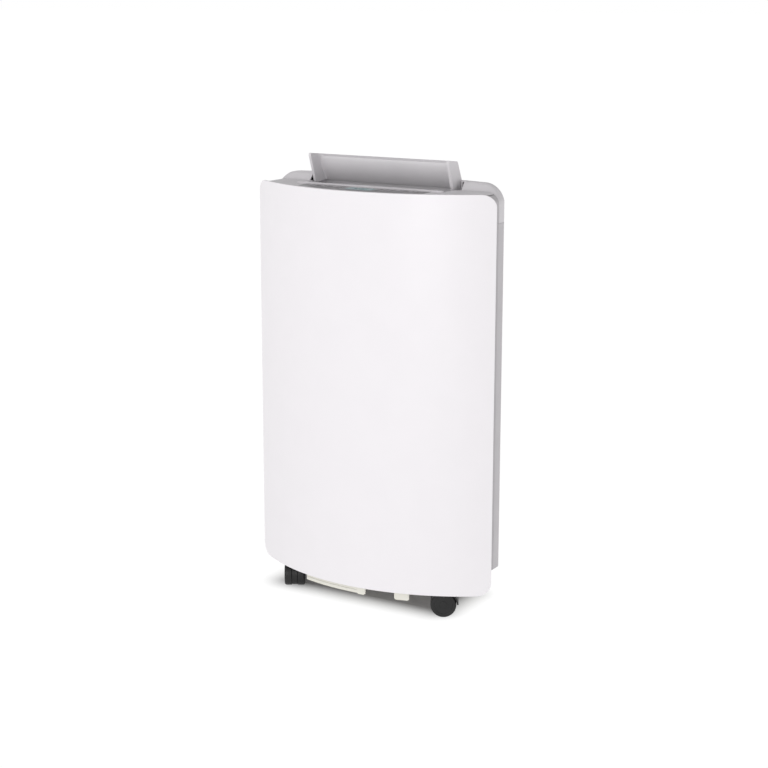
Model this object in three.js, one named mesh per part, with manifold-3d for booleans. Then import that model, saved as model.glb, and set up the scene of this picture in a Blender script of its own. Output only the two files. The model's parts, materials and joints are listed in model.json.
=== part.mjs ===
// A free-standing dehumidifier: a bowed front panel on a chassis, a tapered rear casing with a
// water tank and a filter door, a top cover with controls and an air flap, four twin-wheel casters.
// Millimetres, +Z up, front towards -Y. The origin is on the floor, below the middle of the box.
import * as THREE from "three";
import { mergeVertices } from "three/addons/utils/BufferGeometryUtils.js";
import Module from "manifold-3d";

const wasm = await Module();
wasm.setup();

// ---- Driving dimensions ----
const DEPTH = 240; // front of the panel to the rearmost face
const FRONT_Y = -DEPTH / 2;
const REAR_Y = DEPTH / 2; // rear face of the tank, the grille, the plug and the gland
const CASING_REAR_Y = REAR_Y - 2; // rear face of the casing itself
const GAP = 0.3; // between touching pieces

const PANEL = { width: 440, sag: 77, thick: 3.2, bottom: 41, top: 685, corner: 20 };
PANEL.radius = ((PANEL.width / 2) ** 2 + PANEL.sag ** 2) / (2 * PANEL.sag);
const ARC_Y = FRONT_Y + PANEL.radius; // centre of the panel's bow in plan

const WALL = 3; // moulded walls
const SIDE_X = 207.6; // half width of the casing
const SPLIT_Y = -13; // where the chassis ends and the casing begins
const TAPER_Y = 6; // where the sides start to taper
const REAR_X = 140; // half width of the rear face
const CASING_BOTTOM = 75;
const SEAM_Z = 637; // between the rear casing and the top cover
const DECK_Z = 684.5; // the flat deck that holds the controls
const RIM_Z = 699.5; // the raised rim behind the flap
const SHOULDER = 20; // rounding of the chassis and the deck towards the sides
const CHASSIS_R = PANEL.radius - PANEL.thick - 2;

const OUTLET = { halfX: 131, front: -54.5, back: 21 };
const NOTCH = { halfX: 141, front: -16, back: 6, bottom: 676 }; // finger room beside the flap
const SKIRT = { thick: 2.5, bottom: 651.5 };
const RIDGE = { halfX: 134, depth: 5, top: 687.2 };
const FLAP = { halfX: 129.5, skin: 2.6, hingeY: 13.5, hingeZ: 690, cheek: 2.6, bead: 2.8 };
// The side view of the flap as it stands open: its back plate, then the front edge of a cheek.
FLAP.back = [16.5, 685];
FLAP.top = [-3.5, 728];
FLAP.tip = [-34.5, 731.5];
FLAP.frontFoot = [-17, 681.5];
const FASCIA = { halfX: 114, back: -61, inset: 8, thick: 1.7, proud: 0.3 };
const BUTTON = { w: 15, d: 10, rise: 1.3, spacing: 23, firstX: 46, y: -76, gap: 0.35 };
const DISPLAY = { halfX: 32, front: -101, back: -66 };

const TRAY = { inset: 4, bottom: 48, floor: 52, top: 90, keelX: 172, keelTop: 77 };
const TANK = { x0: -30, x1: 128, front: -45, bottom: 67.5, top: 290, wall: 2.5 };
const BAY = { x0: -33.5, x1: 131.5, bottom: 66.5, top: 298 };
const GRIP = { x0: 20, x1: 78, z0: 240, z1: 275, depth: 22 };
const DOOR = { halfX: 124, bottom: 322, top: 606, hingeZ: 327 };
const COIL = { halfX: 116, bottom: 326, top: 590 };
const FAN = { z: 440, wheelR: 76, shaftR: 4, y0: -42, y1: 8 };
const COMPRESSOR = { x: -92, y: -8, r: 50, bottom: 67, top: 238 };
const WHEEL = { r: 21, width: 12, boreR: 3.3, axleR: 3, webHalf: 4.5, trail: 11 };
const CASTERS = [
  { name: "front_left", x: -151, y: -52, turn: 211 },
  { name: "front_right", x: 151, y: -52, turn: 118 },
  { name: "rear_left", x: -108, y: 72, turn: 25 },
  { name: "rear_right", x: 108, y: 72, turn: -40 },
];

// ---- Materials ----
const paint = (color, roughness, metalness = 0) =>
  new THREE.MeshStandardMaterial({ color, roughness, metalness });
const white = paint(0xf2f1f3, 0.35);
const lightGrey = paint(0xb6b4b7, 0.5);
const midGrey = paint(0x98969a, 0.55);
const darkGrey = paint(0x6f6d70, 0.4);
const black = paint(0x2a2829, 0.5);
const cream = paint(0xd8d6cb, 0.5);
const glassTeal = paint(0x5f8f94, 0.15);
const keyGrey = paint(0xa5a3a6, 0.4);
const steel = paint(0xb9bcc0, 0.35, 1);
const copper = paint(0xb87347, 0.35, 1);
const aluminium = paint(0xc8cbd0, 0.4, 1);
const rubber = paint(0x242323, 0.85);
const boardGreen = paint(0x1f5a3a, 0.5);
const clearBlue = paint(0xa9bcc8, 0.2);

// ---- Shape helpers ----
const radians = THREE.MathUtils.degToRad;

function solid(geometry) {
  const g = geometry.index ? geometry.clone() : mergeVertices(geometry.clone());
  g.deleteAttribute("normal");
  g.deleteAttribute("uv");
  const merged = mergeVertices(g, 1e-4);
  return new wasm.Manifold(
    new wasm.Mesh({
      numProp: 3,
      vertProperties: merged.attributes.position.array,
      triVerts: new Uint32Array(merged.index.array),
    }),
  );
}

const extruded = (points, depth) =>
  new THREE.ExtrudeGeometry(new THREE.Shape(points.map(([x, y]) => new THREE.Vector2(x, y))), {
    depth,
    bevelEnabled: false,
    curveSegments: 1,
  });

// Prisms: an outline in the plane across the named axis, between two places on it.
const prismZ = (xy, z0, z1) => solid(extruded(xy, z1 - z0).translate(0, 0, z0));
const prismY = (xz, y0, y1) => solid(extruded(xz, y1 - y0).rotateX(Math.PI / 2).translate(0, y1, 0));
const X_FROM_Z = new THREE.Matrix4().makeBasis(
  new THREE.Vector3(0, 1, 0),
  new THREE.Vector3(0, 0, 1),
  new THREE.Vector3(1, 0, 0),
);
const prismX = (yz, x0, x1) => solid(extruded(yz, x1 - x0).applyMatrix4(X_FROM_Z).translate(x0, 0, 0));

const box = (x0, x1, y0, y1, z0, z1) =>
  solid(
    new THREE.BoxGeometry(x1 - x0, y1 - y0, z1 - z0).translate((x0 + x1) / 2, (y0 + y1) / 2, (z0 + z1) / 2),
  );

// A cylinder along an axis, centred on the other two places.
function rod(axis, r, from, to, a, b, sides = 14) {
  const g = new THREE.CylinderGeometry(r, r, to - from, sides).translate(0, (from + to) / 2, 0);
  if (axis === "z") g.rotateX(Math.PI / 2).translate(a, b, 0);
  if (axis === "y") g.translate(a, 0, b);
  if (axis === "x") g.rotateZ(-Math.PI / 2).translate(0, a, b);
  return solid(g);
}

const join = (...parts) => parts.reduce((sum, part) => sum.add(part));
const cut = (part, ...tools) => tools.reduce((rest, tool) => rest.subtract(tool), part);

// Points of an arc about (cx, cy), from one angle to another, in degrees.
const arc = (cx, cy, r, a0, a1, steps) =>
  Array.from({ length: steps + 1 }, (_, i) => {
    const a = radians(a0 + ((a1 - a0) * i) / steps);
    return [cx + r * Math.cos(a), cy + r * Math.sin(a)];
  });

// A closed polygon of corners [x, y, radius], each rounded to its radius.
function rounded(corners, stepDegrees = 15) {
  const points = [];
  corners.forEach(([x, y, r = 0], i) => {
    const [px, py] = corners[(i + corners.length - 1) % corners.length];
    const [nx, ny] = corners[(i + 1) % corners.length];
    const before = Math.atan2(py - y, px - x);
    const after = Math.atan2(ny - y, nx - x);
    let inside = after - before;
    inside = Math.atan2(Math.sin(inside), Math.cos(inside));
    const half = Math.abs(inside) / 2;
    if (r <= 0 || half > Math.PI / 2 - 1e-6) {
      points.push([x, y]);
      return;
    }
    const middle = before + inside / 2;
    const reach = r / Math.sin(half);
    const cx = x + reach * Math.cos(middle);
    const cy = y + reach * Math.sin(middle);
    const sweep = Math.PI - 2 * half;
    const steps = Math.max(2, Math.ceil(THREE.MathUtils.radToDeg(sweep) / stepDegrees));
    for (let k = 0; k <= steps; k++) {
      const a = middle + Math.PI + Math.sign(inside) * (sweep / 2 - (sweep * k) / steps);
      points.push([cx + r * Math.cos(a), cy + r * Math.sin(a)]);
    }
  });
  return points;
}

const roundedBox = (x0, x1, y0, y1, r) =>
  rounded(
    [
      [x0, y0, r],
      [x1, y0, r],
      [x1, y1, r],
      [x0, y1, r],
    ],
    r > 10 ? 11.25 : 45,
  );

const mirrorX = (right) => [...right, ...right.map(([x, y]) => [-x, y]).reverse()];

// The plan of the body behind the panel, moved inwards by an inset: bow, sides, tapers, rear face.
function plan(inset) {
  const r = CHASSIS_R - inset;
  const sideX = SIDE_X - inset;
  const taper = new THREE.Vector2(REAR_X - SIDE_X, CASING_REAR_Y - TAPER_Y).normalize();
  const onTaper = new THREE.Vector2(SIDE_X - inset * taper.y, TAPER_Y + inset * taper.x);
  const rearY = CASING_REAR_Y - inset;
  const along = (x) => onTaper.y + ((x - onTaper.x) / taper.x) * taper.y;
  const across = (y) => onTaper.x + ((y - onTaper.y) / taper.y) * taper.x;
  const bow = arc(0, ARC_Y, r, -90, -90 + THREE.MathUtils.radToDeg(Math.asin(sideX / r)), 12);
  const back = rounded([
    [0, 0],
    [sideX, 0],
    [sideX, along(sideX), 12],
    [across(rearY), rearY, Math.max(2, 22 - inset)],
    [0, rearY],
  ]).filter(([x, y]) => x > 1 && y > 1);
  return mirrorX([...bow.slice(1), ...back]);
}

const bodies = new THREE.Group();

function piece(name, part, material) {
  const data = part.getMesh();
  const geometry = new THREE.BufferGeometry()
    .setAttribute("position", new THREE.BufferAttribute(data.vertProperties, 3))
    .setIndex(new THREE.BufferAttribute(data.triVerts, 1));
  const mesh = new THREE.Mesh(geometry, material);
  mesh.name = name;
  bodies.add(mesh);
  return mesh;
}

// ---- Front panel: a bowed skin with rounded corners ----
function frontPanel() {
  const end = THREE.MathUtils.radToDeg(Math.asin(PANEL.width / 2 / PANEL.radius));
  const skin = [
    ...arc(0, ARC_Y, PANEL.radius, -90 - end, -90 + end, 24),
    ...arc(0, ARC_Y, PANEL.radius - PANEL.thick, -90 + end, -90 - end, 24),
  ];
  const half = PANEL.width / 2 + 1;
  const face = prismY(roundedBox(-half, half, PANEL.bottom, PANEL.top, PANEL.corner), FRONT_Y - 1, 0);
  return prismZ(skin, PANEL.bottom, PANEL.top).intersect(face);
}

// ---- Front chassis: the bowed wall that the panel clips to, with its sides ----

// The front view of the chassis and the deck: a level top with rounded shoulders.
const shoulders = (inset) =>
  mirrorX(
    rounded(
      [
        [0, 0],
        [SIDE_X + 1 - inset, 0],
        [SIDE_X + 1 - inset, DECK_Z - inset, SHOULDER - inset],
        [0, DECK_Z - inset],
      ],
      11.25,
    ).filter(([x]) => x > 1),
  );

function frontChassis() {
  const top = DECK_Z - WALL - GAP - 0.5;
  const hull = (inset) => prismZ(plan(inset), 0, 800).intersect(prismY(shoulders(inset), -140, 0));
  const band = box(-300, 300, FRONT_Y, SPLIT_Y - GAP, CASING_BOTTOM, top);
  return cut(hull(0), hull(WALL)).intersect(band);
}

// ---- Rear casing: tapered shell with the filter window, the tank bay and two hand grips ----
const GRIP_CUP = { z0: 560, z1: 592, length: 92, depth: 24, wall: 2.5 };
const taperAngle = Math.atan2(SIDE_X - REAR_X, CASING_REAR_Y - TAPER_Y);

// A box that lies on the tapered side: along it, outwards from it, and up. side is 1 or -1.
function onTaper(side, length, out0, out1, z0, z1) {
  const middle = new THREE.Vector2((SIDE_X + REAR_X) / 2, (TAPER_Y + CASING_REAR_Y) / 2);
  const g = new THREE.BoxGeometry(out1 - out0, length, z1 - z0);
  g.translate((out0 + out1) / 2, 0, (z0 + z1) / 2).rotateZ(taperAngle);
  g.translate(middle.x, middle.y, 0);
  if (side < 0) g.rotateY(Math.PI).translate(0, 0, z0 + z1);
  return solid(g);
}

// The outline of the filter door. Its lower corners stay nearly square, so that it can swing inwards there.
function doorOutline(grow) {
  const half = DOOR.halfX + grow;
  const low = DOOR.bottom - grow;
  const high = DOOR.top + grow;
  return rounded([
    [-half, low, 1 + grow],
    [half, low, 1 + grow],
    [half, high, 8 + grow],
    [-half, high, 8 + grow],
  ]);
}

function rearCasing() {
  let shell = cut(prismZ(plan(0), CASING_BOTTOM, SEAM_Z - GAP), prismZ(plan(WALL), 0, 800));
  shell = shell.intersect(box(-300, 300, SPLIT_Y, REAR_Y, 0, 800));
  const cup = GRIP_CUP;
  for (const side of [-1, 1]) {
    const w = cup.wall;
    const outer = onTaper(side, cup.length + 2 * w, -cup.depth - w, -0.5, cup.z0 - w, cup.z1 + w);
    const hollow = onTaper(side, cup.length, -cup.depth, 6, cup.z0, cup.z1);
    shell = cut(shell.add(outer), hollow);
  }
  const window = doorOutline(1);
  const bay = [
    [BAY.x0, 0],
    [BAY.x1, 0],
    [BAY.x1, BAY.top],
    [BAY.x0, BAY.top],
  ];
  shell = cut(shell, prismY(window, 100, 130), prismY(bay, 100, 130));
  const holes = [
    rod("y", DRAIN.r + GAP, 100, 130, DRAIN.x, DRAIN.z),
    rod("y", GLAND.r + GAP, 100, 130, GLAND.x, GLAND.z),
  ];
  const screwHoles = SCREWS.map(([x, z]) => rod("y", SCREW.shankR + GAP, 100, 130, x, z, 12));
  return cut(shell, ...holes, ...screwHoles);
}

// ---- Rear fittings: drain spout with its plug, cord gland and casing screws ----
const DRAIN = { x: -92, z: 96, r: 9, boreR: 5.5 };
const GLAND = { x: -60, z: 96, r: 7 };
const SCREW = { headR: 4, head: 1.8, shankR: 1.8, shank: 9 };
const SCREWS = [
  [-128, 300],
  [-128, 88],
  [-110, 622],
  [110, 622],
];

const drainSpout = () =>
  cut(
    rod("y", DRAIN.r, 92, CASING_REAR_Y, DRAIN.x, DRAIN.z),
    rod("y", DRAIN.boreR, 80, 130, DRAIN.x, DRAIN.z),
  );
const drainPlug = () =>
  join(
    rod("y", DRAIN.boreR - GAP, 104, CASING_REAR_Y + 0.5, DRAIN.x, DRAIN.z),
    rod("y", DRAIN.r - 1, CASING_REAR_Y + GAP, REAR_Y, DRAIN.x, DRAIN.z),
  );
const cordGland = () =>
  cut(
    join(
      rod("y", GLAND.r, 106, CASING_REAR_Y + 0.5, GLAND.x, GLAND.z),
      rod("y", GLAND.r + 4, CASING_REAR_Y + GAP, REAR_Y, GLAND.x, GLAND.z),
    ),
    rod("y", 3.6, 100, 130, GLAND.x, GLAND.z),
  );
const casingScrew = ([x, z]) =>
  join(
    rod("y", SCREW.shankR, CASING_REAR_Y - SCREW.shank, CASING_REAR_Y + 0.5, x, z, 12),
    rod("y", SCREW.headR, CASING_REAR_Y + GAP, CASING_REAR_Y + SCREW.head, x, z, 12),
  );

// ---- Top cover: deck, raised rim, outlet opening with its skirt ----
const HUMP = { front: -40, foot: -12, footZ: 690, crest0: 0, crest1: 10, fall: 0.27 };

function coverProfile(drop) {
  const rearZ = (y) => RIM_Z - HUMP.fall * (y - HUMP.crest1) - drop;
  return [
    [FRONT_Y - 5, 600],
    [REAR_Y + 5, 600],
    [REAR_Y + 5, rearZ(REAR_Y + 5) - 12],
    [CASING_REAR_Y - 4, rearZ(CASING_REAR_Y) - 5],
    [CASING_REAR_Y - 14, rearZ(CASING_REAR_Y - 14)],
    [HUMP.crest1, RIM_Z - drop],
    [HUMP.crest0, RIM_Z - drop],
    [HUMP.foot, HUMP.footZ - drop],
    [HUMP.front, DECK_Z - drop],
    [FRONT_Y - 5, DECK_Z - drop],
  ];
}

// The front view of the cover's top: level in the middle, falling in an ellipse to each side.
function coverArch(drop) {
  const fall = RIM_Z - DECK_Z + 0.5;
  const run = 68;
  const half = SIDE_X + 1;
  const shoulder = arc(0, 0, 1, 0, 90, 8).map(([c, s]) => [
    half - run + run * c,
    RIM_Z - fall + fall * s - drop,
  ]);
  return mirrorX([[half, 600], ...shoulder]);
}

// The arch runs straight as far as the tapers, then narrows with them and sinks.
function archedBlock(drop) {
  const front = prismY(coverArch(drop), -140, TAPER_Y);
  const g = extruded(coverArch(drop), CASING_REAR_Y - TAPER_Y).rotateX(Math.PI / 2);
  g.translate(0, CASING_REAR_Y, 0);
  const at = g.attributes.position;
  for (let i = 0; i < at.count; i++) {
    if (at.getY(i) > CASING_REAR_Y - 1) {
      at.setX(i, (at.getX(i) * (REAR_X + 1)) / (SIDE_X + 1));
      if (at.getZ(i) > 601) at.setZ(i, at.getZ(i) - HUMP.fall * (CASING_REAR_Y - HUMP.crest1));
    }
  }
  return front.add(solid(g));
}

function topCover() {
  const rear = box(-300, 300, SPLIT_Y, REAR_Y, SEAM_Z, 720);
  const deck = box(-300, 300, FRONT_Y, SPLIT_Y + 1, DECK_Z - WALL, 720);
  const beside = SIDE_X - SHOULDER;
  const ends = prismY(shoulders(0), -140, SPLIT_Y).add(box(-beside, beside, -140, SPLIT_Y + 2, 600, 720));
  const front = deck.intersect(ends.add(box(-300, 300, SPLIT_Y, SPLIT_Y + 2, 600, 720)));
  const hull = (inset, drop) =>
    prismZ(plan(inset), 610, 720)
      .intersect(prismX(coverProfile(drop), -260, 260))
      .intersect(archedBlock(drop));
  let cover = cut(hull(0, 0), hull(WALL, WALL)).intersect(join(rear, front));
  // The skirt hangs from the edge of the outlet and carries the flap's pivots.
  const o = OUTLET;
  const t = SKIRT.thick;
  const skirt = box(-o.halfX - t, o.halfX + t, o.front - t, o.back + t, SKIRT.bottom, 720);
  cover = cover.add(skirt.intersect(hull(1, 1)));
  cover = cover.add(box(-RIDGE.halfX, RIDGE.halfX, o.front - RIDGE.depth, o.front, DECK_Z - 1, RIDGE.top));
  cover = cut(cover, box(-o.halfX, o.halfX, o.front, o.back, 600, 720));
  cover = cut(cover, box(-NOTCH.halfX, NOTCH.halfX, NOTCH.front, NOTCH.back, NOTCH.bottom, 720));
  cover = cut(cover, rod("x", PIVOT_R + 0.4, -140, 140, FLAP.hingeY, FLAP.hingeZ, 16));
  // The recess for the control fascia, with a ledge below it.
  const recess = prismZ(fasciaOutline(-GAP), DECK_Z + FASCIA.proud - FASCIA.thick - GAP, 720);
  return cut(cover, recess, prismZ(fasciaOutline(3), 670, 720));
}

// ---- Controls: fascia, display window, buttons and circuit board ----
function fasciaOutline(inset) {
  const r = CHASSIS_R - FASCIA.inset - inset;
  const half = FASCIA.halfX - inset;
  const end = THREE.MathUtils.radToDeg(Math.asin(half / r));
  const back = FASCIA.back - inset;
  return [...arc(0, ARC_Y, r, -90 - end, -90 + end, 12), [half, back], [-half, back]];
}

const BUTTONS = ["power", "mode", "fan_speed", "timer", "down", "up"].map((name, i) => {
  const side = i < 3 ? -1 : 1;
  const step = i < 3 ? 2 - i : i - 3;
  return { name, x: side * (BUTTON.firstX + step * BUTTON.spacing), y: BUTTON.y };
});

const fasciaTop = DECK_Z + FASCIA.proud;
const buttonOutline = ({ x, y }, grow) =>
  roundedBox(
    x - BUTTON.w / 2 - grow,
    x + BUTTON.w / 2 + grow,
    y - BUTTON.d / 2 - grow,
    y + BUTTON.d / 2 + grow,
    4 + grow,
  );

function controlFascia() {
  const plate = prismZ(fasciaOutline(0), fasciaTop - FASCIA.thick, fasciaTop);
  const d = DISPLAY;
  const glass = prismZ(roundedBox(-d.halfX - GAP, d.halfX + GAP, d.front - GAP, d.back + GAP, 4), 670, 700);
  return cut(plate, glass, ...BUTTONS.map((b) => prismZ(buttonOutline(b, BUTTON.gap), 670, 700)));
}

function displayWindow() {
  const d = DISPLAY;
  return prismZ(roundedBox(-d.halfX, d.halfX, d.front, d.back, 4), fasciaTop - 4, fasciaTop + 0.4);
}

function button(b) {
  const cap = prismZ(buttonOutline(b, 0), fasciaTop - 6, fasciaTop + BUTTON.rise);
  return cap.add(rod("z", 2, fasciaTop - 9, fasciaTop - 5, b.x, b.y, 8));
}

function controlBoard() {
  let board = box(-112, 112, -96, -61, 669.5, 671);
  board = board.intersect(prismZ(plan(WALL + 1.5), 600, 700));
  const switches = BUTTONS.map((b) => box(b.x - 3, b.x + 3, b.y - 3, b.y + 3, 670.5, 674));
  return join(board, ...switches, box(-28, 28, -92, -68, 670.5, 679.5));
}

// ---- Air flap: a plate with two cheeks and a bead along its top, on stub shafts ----
const PIVOT_R = 2.4;

function outletFlap() {
  const f = FLAP;
  const corners = [f.back, f.top, f.tip, f.frontFoot];
  const [back, top, tip, foot] = corners.map(([y, z]) => new THREE.Vector2(y, z));
  const along = top.clone().sub(back).normalize();
  const front = new THREE.Vector2(-along.y, along.x).multiplyScalar(f.skin);
  const plate = [back, top, top.clone().add(front), back.clone().add(front)].map((p) => p.toArray());
  const cheek = rounded([
    [back.x, back.y],
    [top.x, top.y, 5],
    [tip.x, tip.y, 3],
    [foot.x, foot.y, 3],
  ]);
  const bead = top.clone().add(front.clone().multiplyScalar(1.1)).sub(along.clone().multiplyScalar(2.9));
  const stub = (x0, x1) => rod("x", PIVOT_R, x0, x1, f.hingeY, f.hingeZ, 12);
  return join(
    prismX(plate, -f.halfX, f.halfX),
    rod("x", f.bead, -f.halfX, f.halfX, bead.x, bead.y, 12),
    prismX(cheek, -f.halfX, -f.halfX + f.cheek),
    prismX(cheek, f.halfX - f.cheek, f.halfX),
    stub(-135, -f.halfX + 1),
    stub(f.halfX - 1, 135),
  );
}

const flapMotor = () =>
  join(
    rod("x", 9, 137, 152, FLAP.hingeY, FLAP.hingeZ - 10, 16),
    box(137, 139, FLAP.hingeY - 15, FLAP.hingeY + 15, FLAP.hingeZ - 13, FLAP.hingeZ - 7),
  );

// ---- Outlet grille: a frame of upright vanes below the flap ----
function outletGrille() {
  const [x1, y0, y1, z0, z1] = [129, -52, 19, 641, 651];
  const frame = cut(box(-x1, x1, y0, y1, z0, z1), box(-x1 + 3, x1 - 3, y0 + 3, y1 - 3, 600, 700));
  const vanes = Array.from({ length: 11 }, (_, i) => {
    const x = -110 + i * 22;
    return box(x - 0.9, x + 0.9, y0 + 1, y1 - 1, z0 + 1, z1 - 1);
  });
  return join(frame, ...vanes, box(-x1 + 1, x1 - 1, -20, -18, z0 + 2, z1 - 2));
}

// ---- Filter door: the rear grille and the filter that clips into it ----
function inletGrille() {
  const d = DOOR;
  const plate = prismY(doorOutline(0), REAR_Y - 5, REAR_Y);
  const slots = [];
  const rows = 13;
  const pitch = (d.top - d.bottom - 44) / rows;
  for (let i = 0; i < rows; i++) {
    const z = d.bottom + 18 + i * pitch;
    slots.push(box(-d.halfX + 14, -3, 100, 130, z, z + pitch - 5));
    slots.push(box(3, d.halfX - 14, 100, 130, z, z + pitch - 5));
  }
  const pull = box(-22, 22, REAR_Y - 2.5, 130, d.top - 22, d.top - 8);
  return cut(plate, ...slots, pull);
}

function airFilter() {
  const [x, z0, z1, y0, y1] = [115, DOOR.bottom + 10, DOOR.top - 28, REAR_Y - 11, REAR_Y - 5 - GAP];
  const bars = [box(-x, x, y0 + 2, y1 - 1.2, z0 + 2, z1 - 2)];
  const frame = cut(box(-x, x, y0, y1, z0, z1), box(-x + 6, x - 6, 90, 130, z0 + 6, z1 - 6));
  for (let i = 1; i < 4; i++) {
    const at = -x + (i * 2 * x) / 4;
    bars.push(box(at - 1.5, at + 1.5, y0, y1, z0 + 1, z1 - 1));
  }
  return join(frame, ...bars);
}

// ---- Coils: fin packs with the tube bends that show at their ends ----
function coil(y0, y1) {
  const c = COIL;
  const pack = box(-c.halfX, c.halfX, y0, y1, c.bottom, c.top);
  const bends = [];
  for (let i = 0; i < 4; i++) {
    const z = c.bottom + 30 + i * 60;
    const middle = (y0 + y1) / 2;
    bends.push(rod("x", 4, -c.halfX - 9, c.halfX + 9, middle, z, 6));
    bends.push(box(c.halfX + 3, c.halfX + 9, middle - 3.5, middle + 3.5, z, z + 22));
    bends.push(rod("x", 4, c.halfX - 2, c.halfX + 9, middle, z + 22, 6));
  }
  return join(pack, ...bends);
}

function dripTray() {
  const [x, y0, y1, z0, z1] = [128, 48, 102, 306, 323];
  const tray = cut(box(-x, x, y0, y1, z0, z1), box(-x + 2, x - 2, y0 + 2, y1 - 2, z0 + 2, z1 + 1));
  return cut(tray.add(rod("z", 8, 300, z0 + 1, 50, 70)), rod("z", 6, 290, 330, 50, 70));
}

// ---- Fan: scroll housing, blower wheel, shaft and motor ----
function scroll(inset) {
  const spiral = Array.from({ length: 19 }, (_, i) => {
    const turn = i / 18;
    const a = radians(140 + turn * 220);
    const r = 86 + 36 * turn - inset;
    return [r * Math.cos(a), FAN.z + r * Math.sin(a)];
  });
  const x = 124 - inset;
  return [[-x, 640 + inset], [-x, 600], [-84 + inset, 540], ...spiral, [x, 600], [x, 640 + inset]];
}

function fanHousing() {
  const w = 2.5;
  const shell = cut(prismY(scroll(0), FAN.y0, FAN.y1), prismY(scroll(w), FAN.y0 + w, FAN.y1 - w));
  return cut(shell, rod("y", 62, 0, 30, 0, FAN.z, 24), rod("y", 12, -60, -30, 0, FAN.z));
}

function fanWheel() {
  const [y0, y1] = [-35, 1];
  const disc = rod("y", FAN.wheelR, y0, y0 + 2, 0, FAN.z, 24);
  const rim = rod("y", FAN.wheelR, y1 - 3, y1, 0, FAN.z, 24);
  const ring = cut(rim, rod("y", 68, y1 - 4, y1 + 1, 0, FAN.z, 24));
  const hub = rod("y", 11, y0, y0 + 16, 0, FAN.z, 16);
  const blades = Array.from({ length: 18 }, (_, i) => {
    const g = new THREE.BoxGeometry(8, y1 - y0 - 2, 1.4).rotateY(radians(35)).translate(71.3, 0, 0);
    g.rotateY((i * 2 * Math.PI) / 18).translate(0, (y0 + y1) / 2, FAN.z);
    return solid(g);
  });
  return cut(join(disc, ring, hub, ...blades), rod("y", FAN.shaftR + GAP, -60, 30, 0, FAN.z, 10));
}

const fanShaft = () => rod("y", FAN.shaftR, -62, -16, 0, FAN.z, 10);

function fanMotor() {
  const can = rod("y", 38, -92, -50, 0, FAN.z, 20);
  const flange = rod("y", 46, -50, -43, 0, FAN.z, 20);
  return cut(can.add(flange), rod("y", FAN.shaftR + GAP, -64, 0, 0, FAN.z, 10));
}

// ---- Refrigeration: compressor on three rubber feet, accumulator and pipes ----
function lathe(points, x, y, sides = 20) {
  const profile = points.map(([r, z]) => new THREE.Vector2(r, z));
  return solid(new THREE.LatheGeometry(profile, sides).rotateX(Math.PI / 2).translate(x, y, 0));
}

const FEET = [90, 210, 330].map((a) => [
  COMPRESSOR.x + 50 * Math.cos(radians(a)),
  COMPRESSOR.y + 50 * Math.sin(radians(a)),
]);

function compressor() {
  const { x, y, r, bottom, top } = COMPRESSOR;
  const can = lathe(
    [
      [0, bottom],
      [r - 14, bottom + 1],
      [r - 3, bottom + 9],
      [r, bottom + 20],
      [r, top - 28],
      [r - 6, top - 10],
      [r - 20, top - 2],
      [0, top],
    ],
    x,
    y,
  );
  const plate = rounded([
    [x - 66, y - 42, 14],
    [x + 66, y - 42, 14],
    [x, y + 68, 14],
  ]);
  const foot = cut(
    prismZ(plate, bottom - 3, bottom + 2),
    ...FEET.map(([fx, fy]) => rod("z", 4.5, 50, 80, fx, fy, 12)),
  );
  return join(can, foot, box(x - 12, x + 12, y - r - 8, y - r + 6, 150, 190));
}

const rubberFoot = ([x, y]) =>
  join(
    rod("z", 9, TRAY.floor + GAP, COMPRESSOR.bottom - 3 - GAP, x, y, 16),
    rod("z", 4, COMPRESSOR.bottom - 4, COMPRESSOR.bottom + 4, x, y, 12),
  );

const accumulator = () =>
  lathe(
    [
      [0, 120],
      [12, 124],
      [17, 134],
      [17, 196],
      [12, 206],
      [0, 210],
    ],
    -166,
    -8,
    14,
  );

// A refrigerant pipe through hand-placed points, with round ends cut square.
function pipe(points, r) {
  const places = points.map((p) => new THREE.Vector3(...p));
  const extrudePath = new THREE.CatmullRomCurve3(places, false, "centripetal");
  const ring = arc(0, 0, r, 0, 360, 6).slice(0, 6);
  const section = new THREE.Shape(ring.map(([x, y]) => new THREE.Vector2(x, y)));
  return solid(new THREE.ExtrudeGeometry(section, { steps: 16, extrudePath, bevelEnabled: false }));
}

const suctionPipe = () =>
  pipe(
    [
      [-166, -8, 211],
      [-166, -6, 250],
      [-162, 30, 296],
      [-146, 76, 325],
      [-140, 87, 348],
      [-127, 88, 356],
    ],
    3.5,
  );
const dischargePipe = () =>
  pipe(
    [
      [-92, -8, 239],
      [-92, -6, 262],
      [-110, 14, 292],
      [-140, 44, 330],
      [-142, 60, 440],
      [-140, 61, 520],
      [-128, 61, 536],
    ],
    3,
  );

const runCapacitor = () => rod("z", 17, 110, 175, 172, -14, 20);

// ---- Base tray: floor, wall, caster bosses and the lip that hangs below the panel ----
const LIP = { bottom: 28, tabBottom: 26.5 };

function archLip(x0, x1, z0, z1) {
  const r = CHASSIS_R - TRAY.inset;
  const angle = (x) => -90 + THREE.MathUtils.radToDeg(Math.asin(x / r));
  const outline = [
    ...arc(0, ARC_Y, r, angle(x0), angle(x1), 6),
    ...arc(0, ARC_Y, r - WALL, angle(x1), angle(x0), 6),
  ];
  return prismZ(outline, z0, z1);
}

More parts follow.
